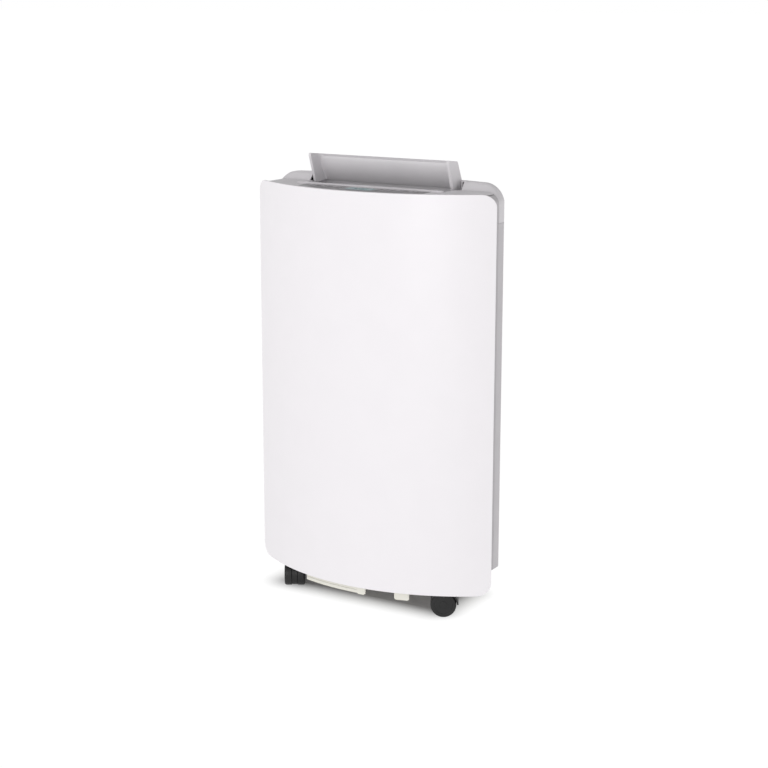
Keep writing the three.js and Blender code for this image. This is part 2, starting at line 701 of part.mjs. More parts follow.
function baseTray() {
  const t = TRAY;
  const keel = (inset, bottom, top) =>
    mirrorX([
      [t.keelX - inset, bottom],
      [SIDE_X + 1 - inset, t.keelTop + (bottom - t.bottom) / 2],
      [SIDE_X + 1 - inset, top],
    ]);
  let tray = cut(
    prismZ(plan(t.inset), t.bottom, t.top).intersect(prismY(keel(0, t.bottom, 200), -140, 140)),
    prismZ(plan(t.inset + WALL), t.floor, t.top + 1).intersect(prismY(keel(WALL, t.floor, 200), -140, 140)),
    box(BAY.x0, BAY.x1, 100, 130, BAY.bottom, 200),
    rod("y", DRAIN.r + 1, 90, 130, DRAIN.x, DRAIN.z),
    rod("y", GLAND.r + 1, 90, 130, GLAND.x, GLAND.z),
    ...SCREWS.map(([x, z]) => rod("y", 4, 100, 130, x, z, 12)),
  );
  const bosses = CASTERS.map((c) => rod("z", 10, t.bottom, t.floor + 14, c.x, c.y, 12));
  const sockets = CASTERS.map((c) => rod("z", STEM_R + GAP, 40, t.floor + 12, c.x, c.y, 12));
  const rail = (x) => box(x, x + 4, TANK.front, 113, t.bottom + 1, BAY.bottom);
  const rails = [TANK.x0 + 14, TANK.x1 - 50].map(rail);
  tray = cut(join(tray, ...bosses, ...rails), ...sockets);
  return join(
    tray,
    archLip(-98, 10, LIP.bottom, t.bottom + 2),
    archLip(9, 24, LIP.tabBottom, t.bottom + 2),
    archLip(75, 99, LIP.tabBottom, t.bottom + 2),
  );
}

// ---- Water tank with its float, and the switch that the float works ----
const FLOAT = { x: 110, y: -30, z: 222, size: 22, height: 18, pinR: 2.5 };

function waterTank() {
  const t = TANK;
  const w = t.wall;
  let tank = box(t.x0, t.x1, t.front, CASING_REAR_Y - 6, t.bottom, t.top);
  tank = tank.add(box(t.x0 - 2, t.x1 + 2, CASING_REAR_Y - 6.5, REAR_Y, t.bottom + 5, t.top + 6));
  tank = cut(tank, box(t.x0 + w, t.x1 - w, t.front + w, CASING_REAR_Y - 6, t.bottom + w, t.top + 20));
  const g = GRIP;
  tank = tank.add(box(g.x0 - 2.5, g.x1 + 2.5, REAR_Y - g.depth - 2.5, REAR_Y - 2, g.z0 - 2.5, g.z1 + 2.5));
  tank = cut(tank, box(g.x0, g.x1, REAR_Y - g.depth, 130, g.z0, g.z1));
  // The float rests on a post and rises along the thinner pin on top of it.
  tank = tank.add(rod("z", FLOAT.pinR + 2.5, t.bottom + 1, FLOAT.z - GAP, FLOAT.x, FLOAT.y, 12));
  return tank.add(rod("z", FLOAT.pinR, FLOAT.z - 2, t.top - 12, FLOAT.x, FLOAT.y, 12));
}

function tankFloat() {
  const { x, y, z, size, height, pinR } = FLOAT;
  const half = size / 2;
  const block = prismZ(roundedBox(x - half, x + half, y - half, y + half, 4), z, z + height);
  return cut(block, rod("z", pinR + 0.6, z - 1, z + height + 1, x, y, 16));
}

const floatSwitch = () => box(132, 140, -38, -16, 228, 262);

// ---- Casters: yoke with its stem, axle and two wheels, drawn with the axle along X ----
const STEM_R = 5.5;

function casterYoke() {
  const { r, trail, webHalf } = WHEEL;
  const web = join(
    rod("x", r - 3, -webHalf, webHalf, 0, r, 16),
    box(-webHalf, webHalf, -trail - 9, -trail + 11, r + 8, 45),
  );
  const hood = cut(
    rod("x", r + 3.5, -webHalf - WHEEL.width - 1, webHalf + WHEEL.width + 1, 0, r, 24),
    rod("x", r + 1, -40, 40, 0, r, 24),
    box(-40, 40, -60, 60, -10, r + 1),
    box(-40, 40, 2, 60, -10, 60),
  );
  const top = rod("z", 12, 43, TRAY.bottom - GAP, 0, -trail, 16);
  const stem = rod("z", STEM_R, 43.5, TRAY.floor + 11, 0, -trail, 12);
  const body = join(web, hood, box(-6, 6, -trail - 8, -trail + 8, 43.2, 45), top, stem);
  return cut(body, rod("x", WHEEL.axleR + GAP, -20, 20, 0, r, 10));
}

const casterAxle = () => rod("x", WHEEL.axleR, -WHEEL.webHalf - 9, WHEEL.webHalf + 9, 0, WHEEL.r, 10);

function casterWheel(side) {
  const { r, width, webHalf, boreR } = WHEEL;
  const inner = webHalf + 0.6;
  const outer = inner + width;
  const g = new THREE.LatheGeometry(
    [
      [boreR, inner],
      [r, inner],
      [r, outer - 2.5],
      [r - 2.5, outer],
      [boreR, outer],
      [boreR, inner],
    ].map(([radius, at]) => new THREE.Vector2(radius, at)),
    20,
  );
  g.rotateZ(-Math.PI / 2).translate(0, 0, r);
  if (side < 0) g.rotateY(Math.PI).translate(0, 0, 2 * r);
  return solid(g);
}

function addCaster({ name, x, y, turn }) {
  const group = new THREE.Group();
  group.position.set(x, y, 0);
  group.rotation.z = radians(turn);
  // The stem stands over the group's origin, and the wheels trail behind it.
  const parts = [
    piece(`caster_${name}_yoke`, casterYoke(), black),
    piece(`caster_${name}_axle`, casterAxle(), steel),
    piece(`caster_${name}_wheel_a`, casterWheel(-1), black),
    piece(`caster_${name}_wheel_b`, casterWheel(1), black),
  ];
  for (const part of parts) {
    part.position.set(0, WHEEL.trail, 0);
    group.add(part);
  }
  return group;
}

// ---- Assembly ----
piece("front_panel", frontPanel(), white);
piece("front_chassis", frontChassis(), midGrey);
piece("rear_casing", rearCasing(), lightGrey);
piece("top_cover", topCover(), lightGrey);
piece("base_tray", baseTray(), cream);

piece("control_fascia", controlFascia(), darkGrey);
piece("display_window", displayWindow(), glassTeal);
piece("control_board", controlBoard(), boardGreen);
for (const b of BUTTONS) piece(`button_${b.name}`, button(b), keyGrey);

piece("outlet_flap", outletFlap(), lightGrey);
piece("flap_motor", flapMotor(), white);
piece("outlet_grille", outletGrille(), darkGrey);
piece("inlet_grille", inletGrille(), lightGrey);
piece("air_filter", airFilter(), darkGrey);

piece("evaporator_coil", coil(78, 98), aluminium);
piece("condenser_coil", coil(50, 72), aluminium);
piece("drip_tray", dripTray(), cream);
piece("fan_housing", fanHousing(), midGrey);
piece("fan_wheel", fanWheel(), white);
piece("fan_shaft", fanShaft(), steel);
piece("fan_motor", fanMotor(), steel);

piece("compressor", compressor(), black);
FEET.forEach((at, i) => piece(`compressor_foot_${i + 1}`, rubberFoot(at), rubber));
piece("accumulator", accumulator(), black);
piece("suction_pipe", suctionPipe(), copper);
piece("discharge_pipe", dischargePipe(), copper);
piece("run_capacitor", runCapacitor(), aluminium);

piece("water_tank", waterTank(), clearBlue);
piece("tank_float", tankFloat(), white);
piece("float_switch", floatSwitch(), black);
piece("drain_spout", drainSpout(), darkGrey);
piece("drain_plug", drainPlug(), rubber);
piece("cord_gland", cordGland(), rubber);
SCREWS.forEach((at, i) => piece(`casing_screw_${i + 1}`, casingScrew(at), steel));

for (const caster of CASTERS) bodies.add(addCaster(caster));

export default bodies;
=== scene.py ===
import json
import math

import bmesh
import bpy
from mathutils import Matrix, Vector

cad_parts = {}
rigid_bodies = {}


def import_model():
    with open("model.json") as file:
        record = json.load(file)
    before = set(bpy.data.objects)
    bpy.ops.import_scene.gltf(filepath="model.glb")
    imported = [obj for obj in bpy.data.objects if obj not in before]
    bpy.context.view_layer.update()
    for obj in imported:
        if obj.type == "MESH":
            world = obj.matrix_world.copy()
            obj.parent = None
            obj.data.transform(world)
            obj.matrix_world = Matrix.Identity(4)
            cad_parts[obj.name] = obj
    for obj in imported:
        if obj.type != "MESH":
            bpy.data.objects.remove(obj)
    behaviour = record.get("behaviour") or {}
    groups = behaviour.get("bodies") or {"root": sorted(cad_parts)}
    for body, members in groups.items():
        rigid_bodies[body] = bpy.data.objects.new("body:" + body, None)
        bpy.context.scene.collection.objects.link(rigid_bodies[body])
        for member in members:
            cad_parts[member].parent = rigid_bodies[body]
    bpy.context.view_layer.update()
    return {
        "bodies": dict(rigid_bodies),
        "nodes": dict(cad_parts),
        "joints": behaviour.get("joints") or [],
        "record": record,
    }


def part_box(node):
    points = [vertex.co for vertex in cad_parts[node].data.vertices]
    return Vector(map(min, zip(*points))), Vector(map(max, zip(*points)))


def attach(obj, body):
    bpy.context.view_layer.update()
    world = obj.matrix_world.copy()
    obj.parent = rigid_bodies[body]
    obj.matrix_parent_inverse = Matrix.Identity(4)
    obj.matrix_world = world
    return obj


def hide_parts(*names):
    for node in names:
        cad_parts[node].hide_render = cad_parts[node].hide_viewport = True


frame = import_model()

MM = 0.001
scene = bpy.context.scene
scene.view_settings.view_transform = "Standard"

# ---- Dimensions in millimetres, the same as in the CAD source ----


def cad_box(node):
    low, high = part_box(node)
    return low / MM, high / MM


PANEL_LOW, PANEL_HIGH = cad_box("front_panel")
CHASSIS_TOP = cad_box("front_chassis")[1].z

PANEL_HALF = PANEL_HIGH.x
PANEL_SAG = 77
PANEL_RADIUS = (PANEL_HALF**2 + PANEL_SAG**2) / (2 * PANEL_SAG)
PANEL_THICK = 3.2
PANEL_CORNER = 20
ARC_Y = PANEL_LOW.y + PANEL_RADIUS
GAP = 0.3
WALL = 3
SIDE_X = 207.6
SPLIT_Y = -13
TAPER_Y = 6
REAR_X = 140
REAR_Y = 120
CASING_REAR_Y = 118
CASING_BOTTOM = 75
SEAM_Z = 637
DECK_Z = 684.5
RIM_Z = 699.5
SHOULDER = 20
CHASSIS_R = PANEL_RADIUS - PANEL_THICK - 2
OUTLET_X, OUTLET_FRONT, OUTLET_BACK = 131, -54.5, 21
NOTCH_X, NOTCH_FRONT, NOTCH_BACK, NOTCH_BOTTOM = 141, -16, 6, 676
HINGE_Y, HINGE_Z = 13.5, 690
FASCIA_TOP = DECK_Z + 0.3

# ---- Outlines ----


def arc(cx, cy, r, a0, a1, steps):
    """Points of an arc from angle a0 to a1, in degrees."""
    turns = [math.radians(a0 + (a1 - a0) * i / steps) for i in range(steps + 1)]
    return [(cx + r * math.cos(a), cy + r * math.sin(a)) for a in turns]


def rounded(corners, step=6):
    """A closed outline of corners (x, y, radius), each rounded to its radius."""
    points = []
    count = len(corners)
    for i, corner in enumerate(corners):
        x, y = corner[:2]
        r = corner[2] if len(corner) > 2 else 0
        px, py = corners[i - 1][:2]
        nx, ny = corners[(i + 1) % count][:2]
        before = math.atan2(py - y, px - x)
        inside = math.atan2(ny - y, nx - x) - before
        inside = math.atan2(math.sin(inside), math.cos(inside))
        half = abs(inside) / 2
        if r <= 0 or half > math.pi / 2 - 1e-6:
            points.append((x, y))
            continue
        middle = before + inside / 2
        reach = r / math.sin(half)
        cx, cy = x + reach * math.cos(middle), y + reach * math.sin(middle)
        sweep = math.pi - 2 * half
        steps = max(3, math.ceil(math.degrees(sweep) / step))
        sign = math.copysign(1, inside)
        for k in range(steps + 1):
            a = middle + math.pi + sign * (sweep / 2 - sweep * k / steps)
            points.append((cx + r * math.cos(a), cy + r * math.sin(a)))
    return points


def rounded_box(x0, x1, y0, y1, r, step=9):
    return rounded([(x0, y0, r), (x1, y0, r), (x1, y1, r), (x0, y1, r)], step)


def mirror_x(right):
    return right + [(-x, y) for x, y in reversed(right)]


def taper_back(inset):
    """Right side of the plan behind the bow: side, taper, rear corner."""
    run = Vector((REAR_X - SIDE_X, CASING_REAR_Y - TAPER_Y)).normalized()
    sx, sy = SIDE_X - inset * run.y, TAPER_Y + inset * run.x
    rear_y = CASING_REAR_Y - inset
    side_x = SIDE_X - inset
    corner_y = sy + (side_x - sx) / run.x * run.y
    corner_x = sx + (rear_y - sy) / run.y * run.x
    outline = rounded(
        [
            (0, 0),
            (side_x, 0),
            (side_x, corner_y, 12),
            (corner_x, rear_y, max(2, 22 - inset)),
            (0, rear_y),
        ],
        4,
    )
    return [(x, y) for x, y in outline if x > 1 and y > 1]


def bow(inset, steps=36):
    """Front bow of the plan from the middle to the right side."""
    r = CHASSIS_R - inset
    return arc(0, ARC_Y, r, -90, -90 + math.degrees(math.asin((SIDE_X - inset) / r)), steps)


def plan(inset):
    """Plan of the body behind the panel, moved inwards by an inset."""
    right = bow(inset)[1:] + taper_back(inset)
    return mirror_x(right) + [(0, ARC_Y - CHASSIS_R + inset)]


# ---- Mesh building ----


def make(name, points, faces):
    mesh = bpy.data.meshes.new(name)
    mesh.from_pydata([(x * MM, y * MM, z * MM) for x, y, z in points], [], faces)
    built = bmesh.new()
    built.from_mesh(mesh)
    bmesh.ops.recalc_face_normals(built, faces=built.faces)
    built.to_mesh(mesh)
    built.free()
    ob = bpy.data.objects.new(name, mesh)
    scene.collection.objects.link(ob)
    return ob


def placed(axis, a, b, along):
    """A point from its two places across an axis and its place along it."""
    return {"z": (a, b, along), "y": (a, along, b), "x": (along, a, b)}[axis]


def prism(axis, outline, low, high, name="tool"):
    """A prism along an axis. The outline is (x, y) for z, (x, z) for y and (y, z) for x."""
    n = len(outline)
    points = [placed(axis, a, b, low) for a, b in outline]
    points += [placed(axis, a, b, high) for a, b in outline]
    faces = [tuple(range(n)), tuple(range(2 * n - 1, n - 1, -1))]
    faces += [(i, (i + 1) % n, n + (i + 1) % n, n + i) for i in range(n)]
    return make(name, points, faces)


def box(x0, x1, y0, y1, z0, z1, name="tool"):
    return prism("z", [(x0, y0), (x1, y0), (x1, y1), (x0, y1)], z0, z1, name)


def rod(axis, r, low, high, a, b, sides=40, name="tool"):
    circle = [(a + x, b + y) for x, y in arc(0, 0, r, 0, 360, sides)[:-1]]
    return prism(axis, circle, low, high, name)


def lathe(axis, profile, a, b, sides=48, name="tool"):
    """A closed ring profile of (radius, along), turned about an axis."""
    n = len(profile)
    points, faces = [], []
    for k in range(sides):
        turn = 2 * math.pi * k / sides
        for r, along in profile:
            points.append(placed(axis, a + r * math.cos(turn), b + r * math.sin(turn), along))
    for k in range(sides):
        for i in range(n):
            p, q = k * n, ((k + 1) % sides) * n
            faces.append((p + i, p + (i + 1) % n, q + (i + 1) % n, q + i))
    ob = make(name, points, faces)
    weld(ob)
    return ob


def weld(ob, distance=0.002):
    built = bmesh.new()
    built.from_mesh(ob.data)
    bmesh.ops.remove_doubles(built, verts=built.verts, dist=distance * MM)
    bmesh.ops.recalc_face_normals(built, faces=built.faces)
    built.to_mesh(ob.data)
    built.free()


def joined(name, objects):
    """One object that holds the meshes of several, without any boolean."""
    built = bmesh.new()
    for ob in objects:
        ob.data.transform(ob.matrix_world)
        built.from_mesh(ob.data)
    mesh = bpy.data.meshes.new(name)
    built.to_mesh(mesh)
    built.free()
    drop(objects)
    result = bpy.data.objects.new(name, mesh)
    scene.collection.objects.link(result)
    return result


def drop(objects):
    for ob in objects:
        mesh = ob.data
        bpy.data.objects.remove(ob)
        if mesh.users == 0:
            bpy.data.meshes.remove(mesh)


def settle(ob):
    """Applies an object's modifiers to its mesh."""
    bpy.context.view_layer.update()
    seen = bpy.context.evaluated_depsgraph_get()
    mesh = bpy.data.meshes.new_from_object(ob.evaluated_get(seen))
    old = ob.data
    ob.modifiers.clear()
    ob.data = mesh
    if old.users == 0:
        bpy.data.meshes.remove(old)
    return ob


def boolean(ob, tools, operation):
    for tool in tools:
        step = ob.modifiers.new("step", "BOOLEAN")
        step.operation = operation
        step.object = tool
        step.solver = "EXACT"
    settle(ob)
    drop(tools)
    return ob


def cut(ob, *tools):
    return boolean(ob, tools, "DIFFERENCE")


def add(ob, *tools):
    return boolean(ob, tools, "UNION")


def common(ob, *tools):
    return boolean(ob, tools, "INTERSECT")


def tidy_faces(ob, degrees=0.4):
    built = bmesh.new()
    built.from_mesh(ob.data)
    bmesh.ops.remove_doubles(built, verts=built.verts, dist=0.001 * MM)
    bmesh.ops.dissolve_limit(
        built, angle_limit=math.radians(degrees), verts=built.verts, edges=built.edges
    )
    built.to_mesh(ob.data)
    built.free()


def soften(ob, width, segments=3, angle=40, clamp=True):
    """Rounds the edges sharper than an angle."""
    if width <= 0:
        return
    edge = ob.modifiers.new("edge", "BEVEL")
    edge.width = width * MM
    edge.segments = segments
    edge.limit_method = "ANGLE"
    edge.angle_limit = math.radians(angle)
    edge.use_clamp_overlap = clamp
    edge.miter_outer = "MITER_ARC"
    settle(ob)


def shade(ob, angle=35):
    ob.data.shade_smooth()
    ob.data.set_sharp_from_angle(angle=math.radians(angle))
    weights = ob.modifiers.new("weights", "WEIGHTED_NORMAL")
    weights.keep_sharp = True
    weights.weight = 60


def dress(ob, name, body, material, nodes=(), width=0.0, segments=3, angle=40, sharp=35):
    """Names a finished piece, rounds and shades it, gives it its material, joins it to its body and hides
    the nodes it replaces.
    """
    soften(ob, width, segments, angle)
    shade(ob, sharp)
    ob.name = name
    ob.data.name = name
    ob.data.materials.clear()
    ob.data.materials.append(material)
    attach(ob, body)
    if nodes:
        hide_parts(*nodes)
    return ob


# ---- Materials ----


def linear(r, g, b):
    """Linear colour of an sRGB colour in 0 to 255."""

    def one(v):
        v /= 255
        return v / 12.92 if v <= 0.04045 else ((v + 0.055) / 1.055) ** 2.4

    return (one(r), one(g), one(b), 1)


def shifted(rgb, amount):
    return tuple(max(0, min(255, v + amount)) for v in rgb)


class Nodes:
    """A material's node tree with short ways to add and join nodes."""

    def __init__(self, name):
        self.material = bpy.data.materials.new(name)
        self.material.use_nodes = True
        self.tree = self.material.node_tree
        self.shader = self.tree.nodes["Principled BSDF"]
        self.place = self.add("ShaderNodeTexCoord").outputs["Object"]

    def add(self, kind, **values):
        node = self.tree.nodes.new(kind)
        for key, value in values.items():
            if key in node.inputs:
                node.inputs[key].default_value = value
            else:
                setattr(node, key, value)
        return node

    def join(self, a, b):
        self.tree.links.new(a, b)

    def noise(self, size_mm, detail=2.0, roughness=0.5):
        node = self.add("ShaderNodeTexNoise", Scale=1000 / size_mm, Detail=detail)
        node.inputs["Roughness"].default_value = roughness
        self.join(self.place, node.inputs["Vector"])
        return node.outputs["Fac"]

    def ramp(self, value, low, high, start=0.35, end=0.65):
        node = self.add("ShaderNodeMapRange")
        node.inputs["From Min"].default_value = start
        node.inputs["From Max"].default_value = end
        node.inputs["To Min"].default_value = low
        node.inputs["To Max"].default_value = high
        self.join(value, node.inputs["Value"])
        return node.outputs["Result"]

    def mix(self, factor, a, b):
        node = self.add("ShaderNodeMix", data_type="RGBA")
        for socket, value in ((node.inputs[6], a), (node.inputs[7], b)):
            if hasattr(value, "links"):
                self.join(value, socket)
            else:
                socket.default_value = value
        if hasattr(factor, "links"):
            self.join(factor, node.inputs[0])
        else:
            node.inputs[0].default_value = factor
        return node.outputs[2]

    def bump(self, height, depth_mm, strength=1.0, normal=None):
        node = self.add("ShaderNodeBump", Strength=strength, Distance=depth_mm * MM)
        self.join(height, node.inputs["Height"])
        if normal is not None:
            self.join(normal, node.inputs["Normal"])
        return node.outputs["Normal"]

    def edges(self, radius_mm):
        node = self.add("ShaderNodeBevel", samples=4, Radius=radius_mm * MM)
        return node.outputs["Normal"]


def moulded(
    name,
    rgb,
    rough=0.5,
    spread=0.06,
    vary=3,
    grain=0.7,
    depth=0.02,
    edge=0.6,
    specular=0.5,
    metal=0.0,
    coat=0.0,
    patch=45,
):
    """Moulded plastic or metal: slight colour drift, uneven gloss, fine grain and rounded edges."""
    n = Nodes(name)
    drift = n.ramp(n.noise(patch, 3), 0, 1)
    colour = n.mix(drift, linear(*shifted(rgb, -vary)), linear(*shifted(rgb, vary)))
    speck = n.ramp(n.noise(grain * 3, 1), 0, 0.12, 0.55, 0.8)
    colour = n.mix(speck, colour, linear(*shifted(rgb, -6 * vary)))
    n.join(colour, n.shader.inputs["Base Color"])
    gloss = n.ramp(n.noise(patch * 0.6, 4, 0.6), rough - spread, rough + spread)
    n.join(gloss, n.shader.inputs["Roughness"])
    normal = n.edges(edge) if edge > 0 else None
    normal = n.bump(n.noise(grain, 2), depth, 0.6, normal)
    normal = n.bump(n.noise(90, 1), depth * 4, 0.3, normal)
    n.join(normal, n.shader.inputs["Normal"])
    n.shader.inputs["Specular IOR Level"].default_value = specular
    n.shader.inputs["Metallic"].default_value = metal
    n.shader.inputs["Coat Weight"].default_value = coat
    n.shader.inputs["Coat Roughness"].default_value = 0.12
    return n.material


white_panel = moulded("white_panel", (232, 229, 232), 0.34, 0.02, 0.5, 0.5, 0.003, 0.0, 0.45)
casing_plastic = moulded("casing_plastic", (197, 194, 197), 0.52, 0.06, 1.5, 0.8, 0.02, 0.7, 0.4)
# Casing grey painted lighter for the top cover: painted light on its upward faces.
casing_grey_painted_light = moulded("casing_grey_painted_light", (214, 211, 214), 0.5, 0.06, 1.5, 0.8, 0.02, 0.7, 0.4)
flap_plastic = moulded("flap_plastic", (222, 219, 222), 0.5, 0.06, 1.5, 0.8, 0.02, 0.0, 0.4)
chassis_plastic = moulded("chassis_plastic", (186, 183, 186), 0.56, 0.06, 1.5, 0.8, 0.02, 0.5, 0.35)
# Chassis grey painted lighter for the deck: painted light on its upward face.
chassis_grey_painted_light = moulded("chassis_grey_painted_light", (212, 209, 212), 0.5, 0.06, 1.5, 0.8, 0.02, 0.5, 0.4)
tray_plastic = moulded("tray_plastic", (222, 220, 211), 0.5, 0.06, 2, 0.8, 0.02, 0.6, 0.4)
fascia_plastic = moulded("fascia_plastic", (131, 128, 131), 0.36, 0.05, 2, 0.6, 0.01, 0.0, 0.5)
key_plastic = moulded("key_plastic", (168, 165, 168), 0.42, 0.05, 2, 0.6, 0.01, 0.0, 0.45)
grille_plastic = moulded("grille_plastic", (66, 66, 68), 0.5, 0.06, 3, 0.8, 0.02, 0.3, 0.4)
white_plastic = moulded("white_plastic", (231, 231, 229), 0.42, 0.06, 2, 0.8, 0.015, 0.4, 0.45)
caster_plastic = moulded("caster_plastic", (16, 15, 16), 0.5, 0.08, 2, 0.8, 0.03, 0.0, 0.45)
soft_rubber = moulded("soft_rubber", (34, 33, 33), 0.78, 0.08, 4, 0.6, 0.05, 0.4, 0.3)
compressor_paint = moulded("compressor_paint", (28, 28, 30), 0.34, 0.08, 3, 2.0, 0.05, 0.8, 0.5, 0.0, 0.4)

tank_plastic = moulded("tank_plastic", (160, 172, 180), 0.22, 0.05, 2, 0.8, 0.01, 0.0, 0.5)
filter_plastic = moulded("filter_plastic", (52, 53, 56), 0.6, 0.06, 4, 0.6, 0.01, 0.0, 0.4)
fin_metal = moulded("aluminium_fins", (196, 198, 201), 0.42, 0.08, 5, 0.6, 0.01, 0.0, 0.5, 0.8)
copper_tube = moulded("copper_tube", (190, 122, 84), 0.3, 0.1, 9, 0.8, 0.02, 0.0, 0.5, 1.0)
plated_steel = moulded("plated_steel", (182, 184, 187), 0.32, 0.08, 5, 0.5, 0.02, 0.0, 0.5, 1.0)

# ---- Front panel ----


def front_panel():
    """A bowed skin: columns from one side to the other, with rounded corners."""
    corner = [PANEL_HALF - PANEL_CORNER * (1 - math.sin(math.radians(a))) for a in range(0, 91, 5)]
    middle = [corner[0] * i / 32 for i in range(32)]
    right = middle[1:] + corner
    xs = [-x for x in reversed(right)] + [0.0] + right
    points, n = [], len(xs)
    for r in (PANEL_RADIUS, PANEL_RADIUS - PANEL_THICK):
        for x in xs:
            over = max(0.0, abs(x) - (PANEL_HALF - PANEL_CORNER))
            rise = PANEL_CORNER - math.sqrt(max(0.0, PANEL_CORNER**2 - over**2))
            px = x * r / PANEL_RADIUS
            y = ARC_Y - math.sqrt(r * r - px * px)
            points.append((px, y, PANEL_LOW.z + rise))
            points.append((px, y, PANEL_HIGH.z - rise))
    faces = []
    for i in range(n - 1):
        a, b = 2 * i, 2 * (n + i)
        faces.append((a, a + 2, a + 3, a + 1))
        faces.append((b, b + 1, b + 3, b + 2))
        faces.append((a, b, b + 2, a + 2))
        faces.append((a + 1, a + 3, b + 3, b + 1))
    for i in (0, n - 1):
        a, b = 2 * i, 2 * (n + i)
        faces.append((a, a + 1, b + 1, b))
    return make("front_panel_skin", points, faces)


dress(
    front_panel(),
    "front_panel_skin",
    "cabinet",
    white_panel,
    ["front_panel"],
    width=1.25,
    segments=4,
    angle=50,
)

# ---- Front chassis ----


def shoulders(inset):
    """Front view of the chassis: a level top with rounded shoulders."""
    side = SIDE_X + 1 - inset
    top = DECK_Z - inset
    outline = rounded([(0, 0), (side, 0), (side, top, SHOULDER - inset), (0, top)], 6)
    return mirror_x([(x, z) for x, z in outline if x > 1])


def front_chassis():
    def hull(inset):
        return common(prism("z", plan(inset), 60, 720), prism("y", shoulders(inset), -140, 0))

    shell = cut(hull(0), hull(WALL))
    common(shell, box(-300, 300, -200, SPLIT_Y - GAP, CASING_BOTTOM, CHASSIS_TOP))
    tidy_faces(shell)
    return shell


dress(
    front_chassis(),
    "front_chassis_shell",
    "cabinet",
    chassis_plastic,
    ["front_chassis"],
    width=0.7,
    angle=50,
)

# ---- Rear casing ----

DRAIN_X, DRAIN_Z = -92, 96
GLAND_X, GLAND_Z = -60, 96
SCREWS = [(-128, 300), (-128, 88), (-110, 622), (110, 622)]
BAY_X0, BAY_X1, BAY_BOTTOM, BAY_TOP = -33.5, 131.5, 66.5, 298
DOOR_X, DOOR_BOTTOM, DOOR_TOP = 124, 322, 606
taper_turn = math.atan2(SIDE_X - REAR_X, CASING_REAR_Y - TAPER_Y)


def on_taper(side, length, out0, out1, z0, z1, r):
    """A block on the tapered side, rounded in the view straight at that side."""
    outline = rounded_box(-length / 2, length / 2, z0, z1, r)
    block = prism("x", outline, out0, out1)
    block.data.transform(Matrix.Rotation(taper_turn, 4, "Z"))
    middle = Vector(((SIDE_X + REAR_X) / 2, (TAPER_Y + CASING_REAR_Y) / 2, 0)) * MM
    block.data.transform(Matrix.Translation(middle))
    if side < 0:
        block.data.transform(Matrix.Scale(-1, 4, (1, 0, 0)))
        block.data.flip_normals()
    return block


def door_outline(grow):
    """The filter door, with lower corners square enough to swing inwards."""
    half, low, high = DOOR_X + grow, DOOR_BOTTOM - grow, DOOR_TOP + grow
    low_r, high_r = 1 + grow, 8 + grow
    return rounded([(-half, low, low_r), (half, low, low_r), (half, high, high_r), (-half, high, high_r)])


def rear_casing():
    def half_outline(inset):
        return [(SIDE_X - inset, SPLIT_Y)] + taper_back(inset)

    outer, inner = half_outline(0), half_outline(WALL)
    outline = mirror_x(outer) + list(reversed(mirror_x(inner)))
    shell = prism("z", outline, CASING_BOTTOM, SEAM_Z - GAP)
    cups = [on_taper(side, 97, -26.5, -0.5, 557.5, 594.5, 9) for side in (1, -1)]
    add(shell, *cups)
    tools = [on_taper(side, 92, -24, 6, 560, 592, 8) for side in (1, -1)]
    tools.append(prism("y", door_outline(1), 100, 130))
    tools.append(prism("y", rounded_box(BAY_X0, BAY_X1, 0, BAY_TOP, 3), 100, 130))
    tools.append(rod("y", 9 + GAP, 100, 130, DRAIN_X, DRAIN_Z))
    tools.append(rod("y", 7 + GAP, 100, 130, GLAND_X, GLAND_Z))
    tools += [rod("y", 1.8 + GAP, 100, 130, x, z, 20) for x, z in SCREWS]
    cut(shell, *tools)
    tidy_faces(shell)
    return shell


dress(
    rear_casing(),
    "rear_casing_shell",
    "cabinet",
    casing_plastic,
    ["rear_casing"],
    width=0.8,
    segments=2,
    angle=50,
)

# ---- Top cover: a smooth block cut to the plan, hollowed and opened ----


RIM_CROWN = 4.2
RIM_CORNER = 33
REAR_CORNER = 16
REAR_FALL = 0.27
CREST_Y = 10
CREST_SPLIT_Y = -3


def smooth_step(t):
    t = max(0.0, min(1.0, t))
    return t * t * (3 - 2 * t)


def half_width(y):
    """Half width of the body at a place along Y, a little beyond its wall."""
    back = max(0.0, (y - TAPER_Y) / (CASING_REAR_Y - TAPER_Y))
    return (SIDE_X + 1) + (REAR_X - SIDE_X) * back


def corner_drop(x, half, r):
    over = min(r, max(0.0, abs(x) - (half - r)))
    return r - math.sqrt(r * r - over * over)


def cover_height(x, y):
    """Height of the cover: a level deck, a steep step up to a crowned rim, and a fall to the rear."""
    half = half_width(y)
    deck = DECK_Z - corner_drop(x, half, SHOULDER)
    rim = RIM_Z - RIM_CROWN * (x / half) ** 2 - corner_drop(x, half, RIM_CORNER)
    rim -= REAR_FALL * max(0.0, y - CREST_Y)
    rim -= corner_drop(max(0.0, y), CASING_REAR_Y + 0.5, REAR_CORNER)
    step = smooth_step((y - SPLIT_Y) / -SPLIT_Y)
    return deck + (rim - deck) * step


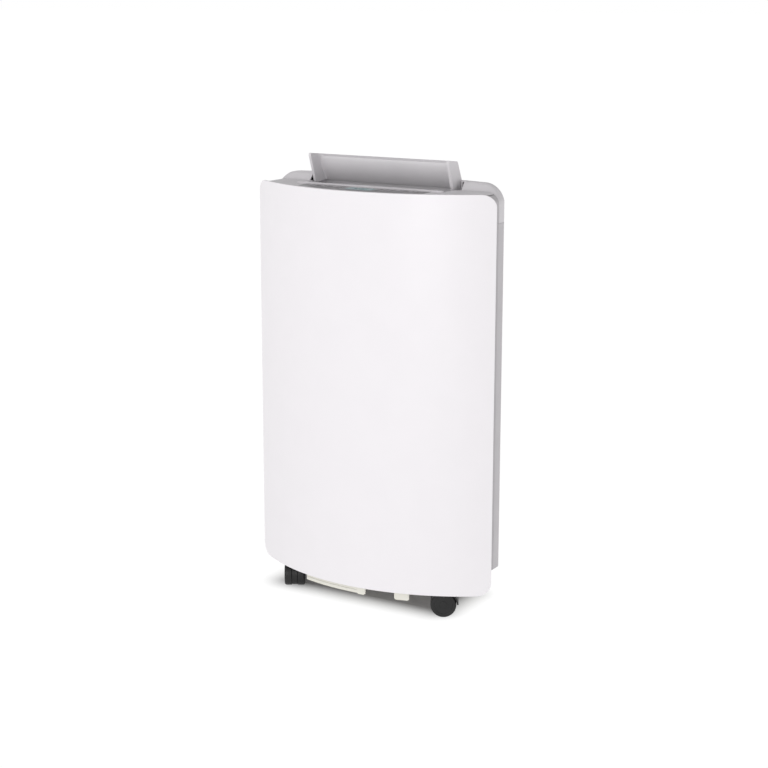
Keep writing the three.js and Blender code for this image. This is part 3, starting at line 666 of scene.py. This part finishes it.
def height_block(drop, bottom):
    """A block with the cover's height as its top. Its columns narrow with the body."""
    turns = [math.sin(math.radians(a)) for a in range(0, 91, 6)]
    across = [0.0, 0.16, 0.33, 0.5, 0.64, 0.76]
    ys = [-125.0, -80, -46, -20] + [SPLIT_Y * (1 - i / 12) for i in range(13)]
    ys += [5, CREST_Y, 20, 34, 48, 62, 76, 88]
    ys += [CASING_REAR_Y + 0.5 - REAR_CORNER * (1 - t) for t in turns] + [121]
    columns = []
    for y in ys:
        half = half_width(y)
        start = half - RIM_CORNER
        right = [start * t / 0.76 for t in across[1:]]
        right += [start + RIM_CORNER * t for t in turns[1:]] + [half + 4]
        columns.append([-x for x in reversed(right)] + [0.0] + right)
    nx, ny = len(columns[0]), len(ys)
    points = [(x, y, cover_height(x, y) - drop) for y, xs in zip(ys, columns) for x in xs]
    points += [(x, y, bottom) for y, xs in zip(ys, columns) for x in xs]
    under = nx * ny
    faces = []
    for j in range(ny - 1):
        for i in range(nx - 1):
            a = j * nx + i
            faces.append((a, a + 1, a + nx + 1, a + nx))
            faces.append((under + a, under + a + nx, under + a + nx + 1, under + a + 1))
    ring = list(range(nx))
    ring += [j * nx + nx - 1 for j in range(1, ny)]
    ring += [(ny - 1) * nx + i for i in range(nx - 2, -1, -1)]
    ring += [j * nx for j in range(ny - 2, 0, -1)]
    for a, b in zip(ring, ring[1:] + ring[:1]):
        faces.append((a, under + a, under + b, b))
    return make("tool", points, faces)


def fascia_outline(inset, steps=40):
    r = CHASSIS_R - 8 - inset
    half = 114 - inset
    end = math.degrees(math.asin(half / r))
    back = -61 - inset
    return arc(0, ARC_Y, r, -90 - end, -90 + end, steps) + [(half, back), (-half, back)]


def top_cover():
    cover = common(height_block(0, 600), prism("z", plan(0), SEAM_Z, 760))
    cut(cover, box(-300, 300, -200, SPLIT_Y, 600, DECK_Z - WALL))
    hollow = common(height_block(WALL, 590), prism("z", plan(WALL), 595, 760))
    cut(cover, hollow)
    skirt = box(-OUTLET_X - 2.5, OUTLET_X + 2.5, OUTLET_FRONT - 2.5, OUTLET_BACK + 2.5, 651.5, 760)
    common(skirt, height_block(1, 600))
    add(cover, skirt)
    ridge = rounded(
        [
            (OUTLET_FRONT - 5, 683.5),
            (OUTLET_FRONT, 683.5),
            (OUTLET_FRONT, 687.2, 0.8),
            (OUTLET_FRONT - 5, 687.2, 1.6),
        ],
        18,
    )
    add(cover, prism("x", ridge, -134, 134))
    cut(
        cover,
        box(-OUTLET_X, OUTLET_X, OUTLET_FRONT, OUTLET_BACK, 600, 760),
        box(-NOTCH_X, NOTCH_X, NOTCH_FRONT, NOTCH_BACK, NOTCH_BOTTOM, 760),
        rod("x", 2.8, -140, 140, HINGE_Y, HINGE_Z, 24),
        prism("z", fascia_outline(-GAP), FASCIA_TOP - 1.7 - GAP, 760),
        prism("z", fascia_outline(3), 670, 760),
    )
    return cover


def split_cover():
    """The darker deck and the lighter hood behind it, with a slanted line between them."""
    whole = top_cover()
    deck = bpy.data.objects.new("deck", whole.data.copy())
    scene.collection.objects.link(deck)

    def line(gap):
        low, high = SPLIT_Y + gap, CREST_SPLIT_Y + gap
        return [(low, 600), (low, 640), (high, 690), (high, 760)]

    common(whole, prism("x", line(0.1) + [(200, 760), (200, 600)], -300, 300))
    common(deck, prism("x", line(-0.1) + [(-200, 760), (-200, 600)], -300, 300))
    return whole, deck


cover_rear, cover_deck = split_cover()
# The top cover and the deck take lighter copies of casing and chassis grey, as painted light on the top.
for piece, name, slot, material in (
    (cover_rear, "top_cover_shell", "casing_grey", casing_grey_painted_light),
    (cover_deck, "top_deck_plate", "chassis_grey", chassis_grey_painted_light),
):
    dress(piece, name, "cabinet", material, ["top_cover"], sharp=28)

# ---- Control fascia, display and keys ----

KEYS = [
    (name, side * (46 + step * 23), -76)
    for name, side, step in (
        ("power", -1, 2),
        ("mode", -1, 1),
        ("fan_speed", -1, 0),
        ("timer", 1, 0),
        ("down", 1, 1),
        ("up", 1, 2),
    )
]


def key_outline(x, y, grow):
    return rounded_box(x - 7.5 - grow, x + 7.5 + grow, y - 5 - grow, y + 5 + grow, 4 + grow)


def control_fascia():
    plate = prism("z", fascia_outline(0), FASCIA_TOP - 1.7, FASCIA_TOP)
    tools = [prism("z", rounded_box(-32.3, 32.3, -101.3, -65.7, 4), 670, 700)]
    tools += [prism("z", key_outline(x, y, 0.35), 670, 700) for _, x, y in KEYS]
    return cut(plate, *tools)


dress(
    control_fascia(),
    "control_fascia_plate",
    "cabinet",
    fascia_plastic,
    ["control_fascia"],
    width=0.25,
    segments=2,
    angle=50,
)


def glossy(name, rgb, rough=0.12, vary=2, glow=None):
    """A polished window: nearly even colour, faint smears in its gloss."""
    n = Nodes(name)
    drift = n.ramp(n.noise(12, 2), 0, 1)
    colour = n.mix(drift, linear(*shifted(rgb, -vary)), linear(*shifted(rgb, vary)))
    n.join(colour, n.shader.inputs["Base Color"])
    n.join(n.ramp(n.noise(9, 4, 0.7), rough * 0.6, rough * 1.6), n.shader.inputs["Roughness"])
    n.join(n.bump(n.noise(20, 1), 0.02, 0.4), n.shader.inputs["Normal"])
    n.shader.inputs["Coat Weight"].default_value = 0.5
    n.shader.inputs["Coat Roughness"].default_value = 0.05
    if glow:
        n.shader.inputs["Emission Color"].default_value = linear(*glow)
        n.shader.inputs["Emission Strength"].default_value = 0.25
    return n.material


display_dark = glossy("display_dark", (70, 74, 78))
display_teal = glossy("display_teal", (110, 140, 144), 0.25, 3, (110, 150, 152))
print_ink = moulded("print_ink", (215, 213, 215), 0.5, 0.05, 2, 0.5, 0.004, 0.0, 0.3)
segment_ink = moulded("segment_ink", (38, 52, 56), 0.4, 0.05, 2, 0.5, 0.004, 0.0, 0.3)

dress(
    prism("z", rounded_box(-32, 32, -101, -66, 4), FASCIA_TOP - 4, FASCIA_TOP + 0.25),
    "display_glass",
    "cabinet",
    display_dark,
    ["display_window"],
    width=0.2,
    segments=2,
    angle=50,
)
dress(
    prism("z", rounded_box(-23, 23, -96, -71, 2), FASCIA_TOP, FASCIA_TOP + 0.3),
    "display_panel",
    "cabinet",
    display_teal,
)


def bar(x0, y0, x1, y1, thick):
    """A flat printed stroke between two places, on the plane z = 0."""
    a, b = Vector((x0, y0)), Vector((x1, y1))
    side = Vector((-(b - a).y, (b - a).x)).normalized() * thick / 2
    outline = [a + side, b + side, b - side, a - side]
    return [(p.x, p.y) for p in outline]


def print_on(name, outlines, z, body, material, rise=0.04):
    pieces = [prism("z", outline, z, z + rise) for outline in outlines]
    return dress(joined(name, pieces), name, body, material)


def digit(x, y, lit, w=6, h=11, t=1.3):
    """A seven-segment digit with its lower left corner at (x, y)."""
    places = {
        "a": (x, y + h, x + w, y + h),
        "b": (x + w, y + h, x + w, y + h / 2),
        "c": (x + w, y + h / 2, x + w, y),
        "d": (x, y, x + w, y),
        "e": (x, y, x, y + h / 2),
        "f": (x, y + h / 2, x, y + h),
        "g": (x, y + h / 2, x + w, y + h / 2),
    }
    made = []
    for key in lit:
        x0, y0, x1, y1 = places[key]
        dx, dy = (x1 - x0), (y1 - y0)
        long = math.hypot(dx, dy)
        ex, ey = dx / long * t * 0.65, dy / long * t * 0.65
        made.append(bar(x0 + ex, y0 + ey, x1 - ex, y1 - ey, t))
    return made


segments = digit(-10, -89, "fgbc") + digit(1, -89, "afgcd")
segments += [bar(11, -79.5, 13.5, -79.5, 0.8), bar(11, -81.5, 13.5, -81.5, 0.8)]
print_on("display_digits", segments, FASCIA_TOP + 0.3, "cabinet", segment_ink)


def ring_strokes(x, y, r, a0, a1, thick, steps=16):
    places = arc(x, y, r, a0, a1, steps)
    return [bar(*p, *q, thick) for p, q in zip(places, places[1:])]


def key_symbol(name, x, y):
    if name == "power":
        return ring_strokes(x, y - 0.3, 2.1, 130, 410, 0.55) + [bar(x, y + 0.3, x, y + 2.4, 0.55)]
    if name == "timer":
        hands = [bar(x, y, x, y + 1.5, 0.45), bar(x, y, x + 1.1, y, 0.45)]
        return ring_strokes(x, y, 2.2, 0, 360, 0.5) + hands
    if name == "mode":
        return [[(x, y + 2.6)] + arc(x, y - 0.6, 1.7, 35, -215, 14)]
    if name == "fan_speed":
        blade = [(0.3, 0), (2.4, 0.05), (2.4, 0.45), (2.4, 0.85)]
        return [
            [(x + r * math.cos(a + turn), y + r * math.sin(a + turn)) for r, turn in blade]
            for a in (0.5, 0.5 + 2.094, 0.5 + 4.189)
        ]
    up = 1 if name == "up" else -1
    return [[(x - 2, y - 1.3 * up), (x + 2, y - 1.3 * up), (x, y + 1.7 * up)]]


for name, x, y in KEYS:
    top = FASCIA_TOP + 1.26
    cap = prism("z", key_outline(x, y, 0), FASCIA_TOP - 6, top)
    add(cap, rod("z", 2, FASCIA_TOP - 9, FASCIA_TOP - 5, x, y, 24))
    dress(
        cap,
        f"key_{name}_cap",
        f"key_{name}",
        key_plastic,
        [f"button_{name}"],
        width=0.5,
        segments=3,
        angle=50,
    )
    print_on(f"key_{name}_mark", key_symbol(name, x, y), top, f"key_{name}", segment_ink)

# ---- Air flap ----


def lean(ob, base_z, slope):
    """Shears an object forwards with height."""
    matrix = Matrix.Identity(4)
    matrix[1][2] = -slope
    matrix[1][3] = slope * base_z * MM
    ob.data.transform(matrix)
    return ob


FLAP_HALF, FLAP_CHEEK, FLAP_SKIN = 129.5, 4.2, 2.6
FLAP_BULGE, FLAP_SWELL, FLAP_REACH, FLAP_TOP_EDGE = 3.8, 27, 45.5, 0.5
FLAP_BACK, FLAP_TOP, FLAP_TIP, FLAP_FOOT = (16.5, 685), (-3.5, 728), (-34.5, 731.4), (-17, 681.5)


def flap_plate():
    """Side view of the plate: it thickens up to the swell and rounds off at its reach."""
    up = (Vector(FLAP_TOP) - Vector(FLAP_BACK)).normalized()
    ahead = Vector((-up.y, up.x))
    depths = []
    for i in range(10):
        turn = math.pi / 2 * i / 10
        depths.append((FLAP_SWELL * i / 10, FLAP_SKIN + FLAP_BULGE * math.sin(turn)))
    for i in range(17):
        turn = math.pi / 2 * i / 16
        along = FLAP_SWELL + (FLAP_REACH - FLAP_SWELL) * math.sin(turn)
        fall = (FLAP_SKIN + FLAP_BULGE - FLAP_TOP_EDGE) * math.cos(turn)
        depths.append((along, FLAP_TOP_EDGE + fall))
    depths += [(FLAP_REACH, 0.3), (0, 0.3)]
    return [tuple(Vector(FLAP_BACK) + up * along + ahead * deep) for along, deep in depths]


def outlet_flap():
    """A plate that leans forwards between two cheeks and swells towards its rounded top."""
    side = rounded([FLAP_BACK, (*FLAP_TOP, 6), (*FLAP_TIP, 3), (*FLAP_FOOT, 3)], 8)
    outer = prism("x", side, -FLAP_HALF, FLAP_HALF)
    slope = (FLAP_BACK[0] - FLAP_TOP[0]) / (FLAP_TOP[1] - FLAP_BACK[1])
    face_y = FLAP_BACK[0] - FLAP_SKIN * math.hypot(1, slope)
    inner = FLAP_HALF - FLAP_CHEEK
    hollow = rounded([(-inner, -120), (inner, -120), (inner, face_y, 7), (-inner, face_y, 7)])
    cut(outer, lean(prism("z", hollow, 640, 780), FLAP_BACK[1], slope))
    soften(outer, 1.1, 4, 45)
    ends = ((-135, -128.5), (128.5, 135))
    stubs = [rod("x", 2.4, x0, x1, HINGE_Y, HINGE_Z, 24) for x0, x1 in ends]
    add(outer, prism("x", flap_plate(), 1.5 - FLAP_HALF, FLAP_HALF - 1.5), *stubs)
    return outer


dress(
    outlet_flap(),
    "air_flap",
    "flap",
    flap_plastic,
    ["outlet_flap"],
    sharp=40,
)

# ---- Caster places ----

WHEEL_R, TRAIL = 21, 11
CASTERS = {
    "front_left": (-151, -52, 211),
    "front_right": (151, -52, 118),
    "rear_left": (-108, 72, 25),
    "rear_right": (108, 72, -40),
}


# ---- Filter door: the rear grille and the mesh filter clipped into it ----


def inlet_grille():
    plate = prism("y", door_outline(0), REAR_Y - 5, REAR_Y)
    rows = 13
    pitch = (DOOR_TOP - DOOR_BOTTOM - 44) / rows
    tools = [prism("y", rounded_box(-22, 22, DOOR_TOP - 22, DOOR_TOP - 8, 4), REAR_Y - 2.5, 130)]
    for i in range(rows):
        z = DOOR_BOTTOM + 18 + i * pitch
        for x0, x1 in ((14 - DOOR_X, -3), (3, DOOR_X - 14)):
            tools.append(prism("y", rounded_box(x0, x1, z, z + pitch - 5, 3.5, 15), 100, 130))
    cut(plate, *tools)
    tidy_faces(plate)
    return plate


def air_filter():
    """A frame with three bars, and woven strands across it."""
    half, z0, z1, y0, y1 = 115, DOOR_BOTTOM + 10, DOOR_TOP - 28, REAR_Y - 11, REAR_Y - 5.3
    frame = prism("y", rounded_box(-half, half, z0, z1, 2), y0, y1)
    cut(frame, prism("y", rounded_box(6 - half, half - 6, z0 + 6, z1 - 6, 2), 90, 130))
    add(frame, *[box(x - 1.5, x + 1.5, y0, y1, z0 + 1, z1 - 1) for x in (-57.5, 0, 57.5)])
    soften(frame, 0.5, 2, 50)
    pitch, thick, y = 2.6, 0.28, (y0 + y1) / 2
    strands = []
    for i in range(int((2 * half - 12) / pitch)):
        x = 6 - half + pitch * (i + 0.5)
        strands.append(box(x - thick, x + thick, y - 0.5, y + 0.1, z0 + 4, z1 - 4))
    for i in range(int((z1 - z0 - 12) / pitch)):
        z = z0 + 6 + pitch * (i + 0.5)
        strands.append(box(4 - half, half - 4, y - 0.1, y + 0.5, z - thick, z + thick))
    return joined("air_filter_mesh", [frame] + strands)


dress(
    inlet_grille(),
    "inlet_grille_plate",
    "filter_door",
    casing_plastic,
    ["inlet_grille"],
    width=0.8,
)
dress(air_filter(), "air_filter_mesh", "filter_door", filter_plastic, ["air_filter"])

# ---- Coils: aluminium fins on copper tubes, between two end plates ----

COIL_X, COIL_BOTTOM, COIL_TOP = 116, 326, 590


def coil_fins(y0, y1):
    fins = [box(x, x + 1, y0, y1, COIL_BOTTOM, COIL_TOP) for x in (-COIL_X, COIL_X - 1)]
    pitch, thick = 2.3, 0.3
    for i in range(int((2 * COIL_X - 4) / pitch)):
        x = -COIL_X + 2 + pitch * i
        fins.append(box(x, x + thick, y0 + 0.4, y1 - 0.4, COIL_BOTTOM + 0.5, COIL_TOP - 0.5))
    return joined("fins", fins)


def coil_tubes(y0, y1):
    """Straight tubes with the turned bends that join them beyond the end plates."""
    middle = (y0 + y1) / 2
    tubes = []
    for i in range(4):
        z = COIL_BOTTOM + 30 + i * 60
        for level in (z, z + 22):
            tubes.append(rod("x", 3.6, -COIL_X - 2, COIL_X + 1.5, middle, level, 20))
        tubes.append(rod("x", 3.6, -COIL_X - 9, -COIL_X - 2, middle, z, 20))
        tubes.append(half_bend(COIL_X + 1.2, middle, z, 22))
    return joined("tubes", tubes)


def half_bend(x, y, z, rise, r=3.6, sides=16, steps=14):
    """A tube that leaves along X at one height and comes back at another, pressed flat enough to fit."""
    points = []
    for k in range(steps + 1):
        turn = math.pi * k / steps
        out, up = math.sin(turn), -math.cos(turn)
        for j in range(sides):
            a = 2 * math.pi * j / sides
            swell = rise / 2 + r * math.cos(a)
            points.append((x + 0.5 * swell * out, y + r * math.sin(a), z + rise / 2 + swell * up))
    faces = [tuple(range(sides)), tuple(range(steps * sides, (steps + 1) * sides))]
    for k in range(steps):
        for j in range(sides):
            a, b = k * sides + j, k * sides + (j + 1) % sides
            faces.append((a, b, b + sides, a + sides))
    return make("bend", points, faces)


for name, y0, y1 in (("evaporator", 78, 98), ("condenser", 50, 72)):
    node = [f"{name}_coil"]
    dress(coil_fins(y0, y1), f"{name}_fins", "cabinet", fin_metal, node)
    dress(coil_tubes(y0, y1), f"{name}_tubes", "cabinet", copper_tube, node)

# ---- Water tank ----


def water_tank():
    tank = prism("z", rounded_box(-30, 128, -45, 112, 5), 67.5, 290)
    add(tank, prism("y", rounded_box(-32, 130, 72.5, 296, 6), 111.5, REAR_Y))
    cut(tank, prism("z", rounded_box(-27.5, 125.5, -42.5, 112, 3), 70, 310))
    add(tank, prism("y", rounded_box(17.5, 80.5, 237.5, 277.5, 8), REAR_Y - 24.5, REAR_Y - 2))
    cut(tank, prism("y", rounded_box(20, 78, 240, 275, 6), REAR_Y - 22, 130))
    add(tank, rod("z", 5, 68.5, 221.7, 110, -30, 24), rod("z", 2.5, 220, 278, 110, -30, 24))
    tidy_faces(tank)
    return tank


dress(
    water_tank(),
    "water_tank_shell",
    "tank",
    tank_plastic,
    ["water_tank"],
    width=0.9,
    angle=50,
)

# ---- Base tray with the lip and tabs that hang below the panel ----


def arch(r, x0, x1, thick, z0, z1):
    """A strip bent to the bow of the front."""
    a0, a1 = (-90 + math.degrees(math.asin(x / r)) for x in (x0, x1))
    return prism("z", arc(0, ARC_Y, r, a0, a1, 16) + arc(0, ARC_Y, r - thick, a1, a0, 16), z0, z1)


def base_tray():
    inset, bottom, floor_z, top = 4, 48, 52, 90
    lip_r = CHASSIS_R - inset

    def block(depth, low, high):
        side = SIDE_X + 1 - depth
        keel = mirror_x([(172 - depth, low), (side, 77 + (low - bottom) / 2), (side, 200)])
        return common(prism("z", plan(inset + depth), low, high), prism("y", keel, -140, 140))

    tray = block(0, bottom, top)
    tools = [block(WALL, floor_z, top + 1), box(BAY_X0, BAY_X1, 100, 130, BAY_BOTTOM, 200)]
    tools.append(rod("y", 10, 90, 130, DRAIN_X, DRAIN_Z))
    tools.append(rod("y", 8, 90, 130, GLAND_X, GLAND_Z))
    tools.append(rod("y", 4, 100, 130, -128, 88, 24))
    cut(tray, *tools)
    add(tray, *[rod("z", 10, bottom, floor_z + 14, x, y, 32) for x, y, _ in CASTERS.values()])
    add(tray, *[box(x, x + 4, -45, 113, bottom + 1, BAY_BOTTOM) for x in (-16, 78)])
    cut(tray, *[rod("z", 5.8, 40, floor_z + 12, x, y, 32) for x, y, _ in CASTERS.values()])
    hanging = [arch(lip_r, -98, 10, WALL, 28, bottom + 2)]
    for x0, x1 in ((9, 24), (75, 99)):
        tab = arch(lip_r, x0, x1, WALL, 26.5, bottom + 2)
        front_view = rounded([(x0, 26.5, 3.5), (x1, 26.5, 3.5), (x1, 60), (x0, 60)], 10)
        hanging.append(common(tab, prism("y", front_view, -140, 0)))
    add(tray, *hanging)
    cut(tray, arch(lip_r + 1, -97, 8.5, 1.8, 33.2, 34.4))
    tidy_faces(tray)
    return tray


dress(
    base_tray(),
    "base_tray_shell",
    "cabinet",
    tray_plastic,
    ["base_tray"],
    width=0.7,
    angle=50,
)

# ---- Casing screws with a cross recess ----


def casing_screw(x, z):
    face, slot_y = CASING_REAR_Y, CASING_REAR_Y + 0.7
    screw = rod("y", 4, face, face + 1.8, x, z, 40)
    soften(screw, 0.8, 3)
    add(screw, rod("y", 1.8, face - 9, face + 0.5, x, z, 24))
    arms = [(2.2, 0.45), (0.45, 2.2)]
    cut(screw, *[box(x - w, x + w, slot_y, slot_y + 3, z - h, z + h) for w, h in arms])
    return screw


for i, (x, z) in enumerate(SCREWS, 1):
    node = f"casing_screw_{i}"
    dress(casing_screw(x, z), f"{node}_head", "cabinet", plated_steel, [node])

# ---- Drain spout with its plug, and cord gland ----


def fitting(profile, x, z):
    """A turned fitting with its axis along Y, from corners (radius, y, rounding)."""
    return lathe("y", rounded(profile, 20), x, z)


SEAT_Y = CASING_REAR_Y + 0.3
SPOUT = [(5.5, 92), (9, 92, 0.6), (9, CASING_REAR_Y, 0.6), (5.5, CASING_REAR_Y, 0.5)]
PLUG = [(0, 104), (5.2, 104, 1), (5.2, SEAT_Y), (8, SEAT_Y, 0.3), (8, REAR_Y, 0.8)]
PLUG += [(4, REAR_Y, 0.3), (3.6, REAR_Y - 0.7, 0.2), (0, REAR_Y - 0.7)]
SLEEVE = [(3.6, 106), (7, 106, 0.8), (7, SEAT_Y), (11, SEAT_Y, 0.3), (11, REAR_Y - 0.3, 0.8)]
SLEEVE += [(8, REAR_Y, 0.3), (7, REAR_Y - 0.5, 0.2), (6, REAR_Y, 0.2), (3.6, REAR_Y, 0.5)]
drain_spout = fitting(SPOUT, DRAIN_X, DRAIN_Z)
drain_plug = fitting(PLUG, DRAIN_X, DRAIN_Z)
cord_gland = fitting(SLEEVE, GLAND_X, GLAND_Z)

dress(drain_spout, "drain_spout_tube", "cabinet", grille_plastic, ["drain_spout"])
dress(drain_plug, "drain_plug_cap", "plug", soft_rubber, ["drain_plug"])
dress(cord_gland, "cord_gland_sleeve", "cabinet", soft_rubber, ["cord_gland"])

# ---- Casters, drawn with the axle along X over the point (0, 0) ----


def caster_yoke():
    """A web between the wheels, a hood over them, and the plate and stem above."""
    yoke = rod("x", 20, -4.5, 4.5, 0, WHEEL_R, 60)
    hood = rod("x", 24.5, -17.5, 17.5, 0, WHEEL_R, 64)
    below, ahead = box(-40, 40, -60, 60, -10, 22), box(-40, 40, 2, 60, -10, 60)
    cut(hood, rod("x", 22, -40, 40, 0, WHEEL_R, 64), below, ahead)
    neck = box(-4.5, 4.5, -TRAIL - 9, 0, 29, 45)
    bridge = box(-6, 6, -TRAIL - 8, -TRAIL + 8, 43.2, 45)
    plate = rod("z", 12, 43, 47.7, 0, -TRAIL, 48)
    stem = rod("z", 5.5, 43.5, 63, 0, -TRAIL, 32)
    add(yoke, neck, hood, bridge, plate, stem)
    cut(yoke, rod("x", 3.3, -20, 20, 0, WHEEL_R, 24))
    tidy_faces(yoke)
    soften(yoke, 0.7, 3, 45)
    return yoke


def caster_wheel(side):
    """A wheel with a rounded tyre, a dished face and a cap over the end of the axle."""
    profile = rounded(
        [
            (0, 14),
            (3.3, 14),
            (3.3, 5.1),
            (WHEEL_R, 5.1, 0.8),
            (WHEEL_R, 17.1, 3.0),
            (15.2, 17.1, 0.7),
            (14.8, 16.5, 0.4),
            (6.6, 16.5, 0.5),
            (6.2, 17.0, 0.4),
            (0, 17.1),
        ],
        12,
    )
    wheel = lathe("x", [(r, side * along) for r, along in profile], 0, WHEEL_R, 60)
    return wheel


def copied(ob):
    twin = bpy.data.objects.new(ob.name, ob.data.copy())
    scene.collection.objects.link(twin)
    return twin


caster_parts = {"yoke": caster_yoke(), "wheel_a": caster_wheel(-1), "wheel_b": caster_wheel(1)}
for name, (x, y, turn) in CASTERS.items():
    place = Matrix.Translation((x * MM, y * MM, 0)) @ Matrix.Rotation(math.radians(turn), 4, "Z")
    place = place @ Matrix.Translation((0, TRAIL * MM, 0))
    for part, source in caster_parts.items():
        twin = copied(source)
        twin.data.transform(place)
        body = f"swivel_{name}" if part == "yoke" else f"wheel_{name}_{part[-1]}"
        node = f"caster_{name}_{part}"
        dress(twin, f"{node}_shell", body, caster_plastic, [node])
drop(list(caster_parts.values()))

# ---- Materials of the CAD nodes that stay ----

finish_of = {
    "panel_white": white_panel,
    "casing_grey": casing_plastic,
    "chassis_grey": chassis_plastic,
    "tray_cream": tray_plastic,
    "fascia_dark": fascia_plastic,
    "key_grey": key_plastic,
    "float_white": white_plastic,
    "grille_dark": grille_plastic,
    "filter_dark": grille_plastic,
    "caster_black": caster_plastic,
    "rubber_black": soft_rubber,
    "compressor_black": compressor_paint,
    "display_glass": display_teal,
    "board_green": moulded("board_lacquer", (38, 92, 60), 0.3, 0.06, 5, 0.6, 0.02, 0.2, 0.5),
    "coil_aluminium": fin_metal,
    "steel": plated_steel,
    "copper": copper_tube,
    "tank_clear": tank_plastic,
}
for part in frame["record"]["subparts"]:
    node = frame["nodes"][part["node"]]
    if node.hide_render:
        continue
    node.data.materials.clear()
    node.data.materials.append(finish_of[part["material_slot"]])

# ---- Floor, light and camera ----


# FOOTPRINT, FOOTPRINT_X and SHADE_* place a painted shadow under the object; GLOW_* fade the floor's glow
# near it as painted shade.
FOOTPRINT = (0.14, 0.045, 0.0)
FOOTPRINT_X = -0.02
GLOW_NEAR, GLOW_FAR, GLOW_REACH = 0.0, 0.95, 0.055
SHADE_NEAR, SHADE_REACH = 0.01, 0.045


def floor_material():
    """Pale floor with a painted shadow: its colour turns grey under the object, and the glow that keeps
    the rest of it white fades near the object as painted shade.
    """
    n = Nodes("floor_with_painted_shadow")
    drift = n.ramp(n.noise(400, 3), 0, 1)
    paint = n.mix(drift, linear(250, 250, 250), linear(253, 253, 253))
    n.shader.inputs["Roughness"].default_value = 0.9
    n.shader.inputs["Specular IOR Level"].default_value = 0.0
    away = n.add("ShaderNodeVectorMath", operation="ABSOLUTE")
    n.join(n.place, away.inputs[0])
    beyond = n.add("ShaderNodeVectorMath", operation="SUBTRACT")
    n.join(away.outputs[0], beyond.inputs[0])
    beyond.inputs[1].default_value = FOOTPRINT
    outside = n.add("ShaderNodeVectorMath", operation="MAXIMUM")
    n.join(beyond.outputs[0], outside.inputs[0])
    outside.inputs[1].default_value = (0, 0, 0)
    distance = n.add("ShaderNodeVectorMath", operation="LENGTH")
    n.join(outside.outputs[0], distance.inputs[0])
    # Painted shadow: the floor's colour turns grey under the object.
    under = n.ramp(distance.outputs["Value"], 1.0, 0.0, SHADE_NEAR, SHADE_REACH)
    n.join(n.mix(under, paint, linear(168, 167, 170)), n.shader.inputs["Base Color"])
    glow = n.add("ShaderNodeEmission", Color=(1, 1, 1, 1), Strength=1.04)
    blend = n.add("ShaderNodeMixShader")
    # Painted shade: the floor's glow fades to nothing near the object.
    n.join(n.ramp(distance.outputs["Value"], GLOW_NEAR, GLOW_FAR, 0.0, GLOW_REACH), blend.inputs[0])
    n.join(n.shader.outputs[0], blend.inputs[1])
    n.join(glow.outputs[0], blend.inputs[2])
    n.join(blend.outputs[0], n.tree.nodes["Material Output"].inputs["Surface"])
    return n.material


floor_corners = [(-60000, -60000, 0), (60000, -60000, 0), (60000, 60000, 0), (-60000, 60000, 0)]
floor = make("floor", floor_corners, [(0, 1, 2, 3)])
floor.location = (FOOTPRINT_X, 0, -0.0002)
floor.data.materials.append(floor_material())


HORIZON_LIGHT, ZENITH_LIGHT = 0.95, 0.55


def studio_world():
    """A white backdrop that lights the object more from the horizon than from above."""
    world = bpy.data.worlds.new("studio")
    world.use_nodes = True
    tree = world.node_tree
    backdrop = tree.nodes["Background"]
    backdrop.inputs["Color"].default_value = (1, 1, 1, 1)
    backdrop.inputs["Strength"].default_value = 1.0
    lighting = tree.nodes.new("ShaderNodeBackground")
    place = tree.nodes.new("ShaderNodeTexCoord")
    split = tree.nodes.new("ShaderNodeSeparateXYZ")
    height = tree.nodes.new("ShaderNodeMapRange")
    height.inputs["To Min"].default_value = HORIZON_LIGHT
    height.inputs["To Max"].default_value = ZENITH_LIGHT
    rays = tree.nodes.new("ShaderNodeLightPath")
    blend = tree.nodes.new("ShaderNodeMixShader")
    tree.links.new(place.outputs["Generated"], split.inputs[0])
    tree.links.new(split.outputs["Z"], height.inputs["Value"])
    tree.links.new(height.outputs["Result"], lighting.inputs["Strength"])
    tree.links.new(rays.outputs["Is Camera Ray"], blend.inputs[0])
    tree.links.new(lighting.outputs[0], blend.inputs[1])
    tree.links.new(backdrop.outputs[0], blend.inputs[2])
    tree.links.new(blend.outputs[0], tree.nodes["World Output"].inputs["Surface"])
    return world


scene.world = studio_world()


def area_light(name, place, aim, size, power):
    data = bpy.data.lights.new(name, "AREA")
    data.shape = "DISK"
    data.size = size
    data.energy = power
    lamp = bpy.data.objects.new(name, data)
    scene.collection.objects.link(lamp)
    lamp.location = place
    lamp.rotation_euler = (Vector(aim) - Vector(place)).to_track_quat("-Z", "Y").to_euler()
    return lamp


area_light("key", (-1.5, -3.2, 3.2), (0, 0, 0.35), 2.4, 22)
area_light("fill", (0.9, -3.1, 0.95), (0, 0, 0.45), 1.8, 26)

camera_data = bpy.data.cameras.new("camera")
camera_data.sensor_width = 36
camera_data.lens = 81.32
camera_data.shift_x = 0.0149
camera_data.shift_y = 0.0008
camera = bpy.data.objects.new("camera", camera_data)
scene.collection.objects.link(camera)
camera.location = (1.4268, -2.3942, 0.9937)
aim = Vector((0, -0.0464, 0.3634)) - camera.location
camera.rotation_euler = aim.to_track_quat("-Z", "Y").to_euler()
scene.camera = camera
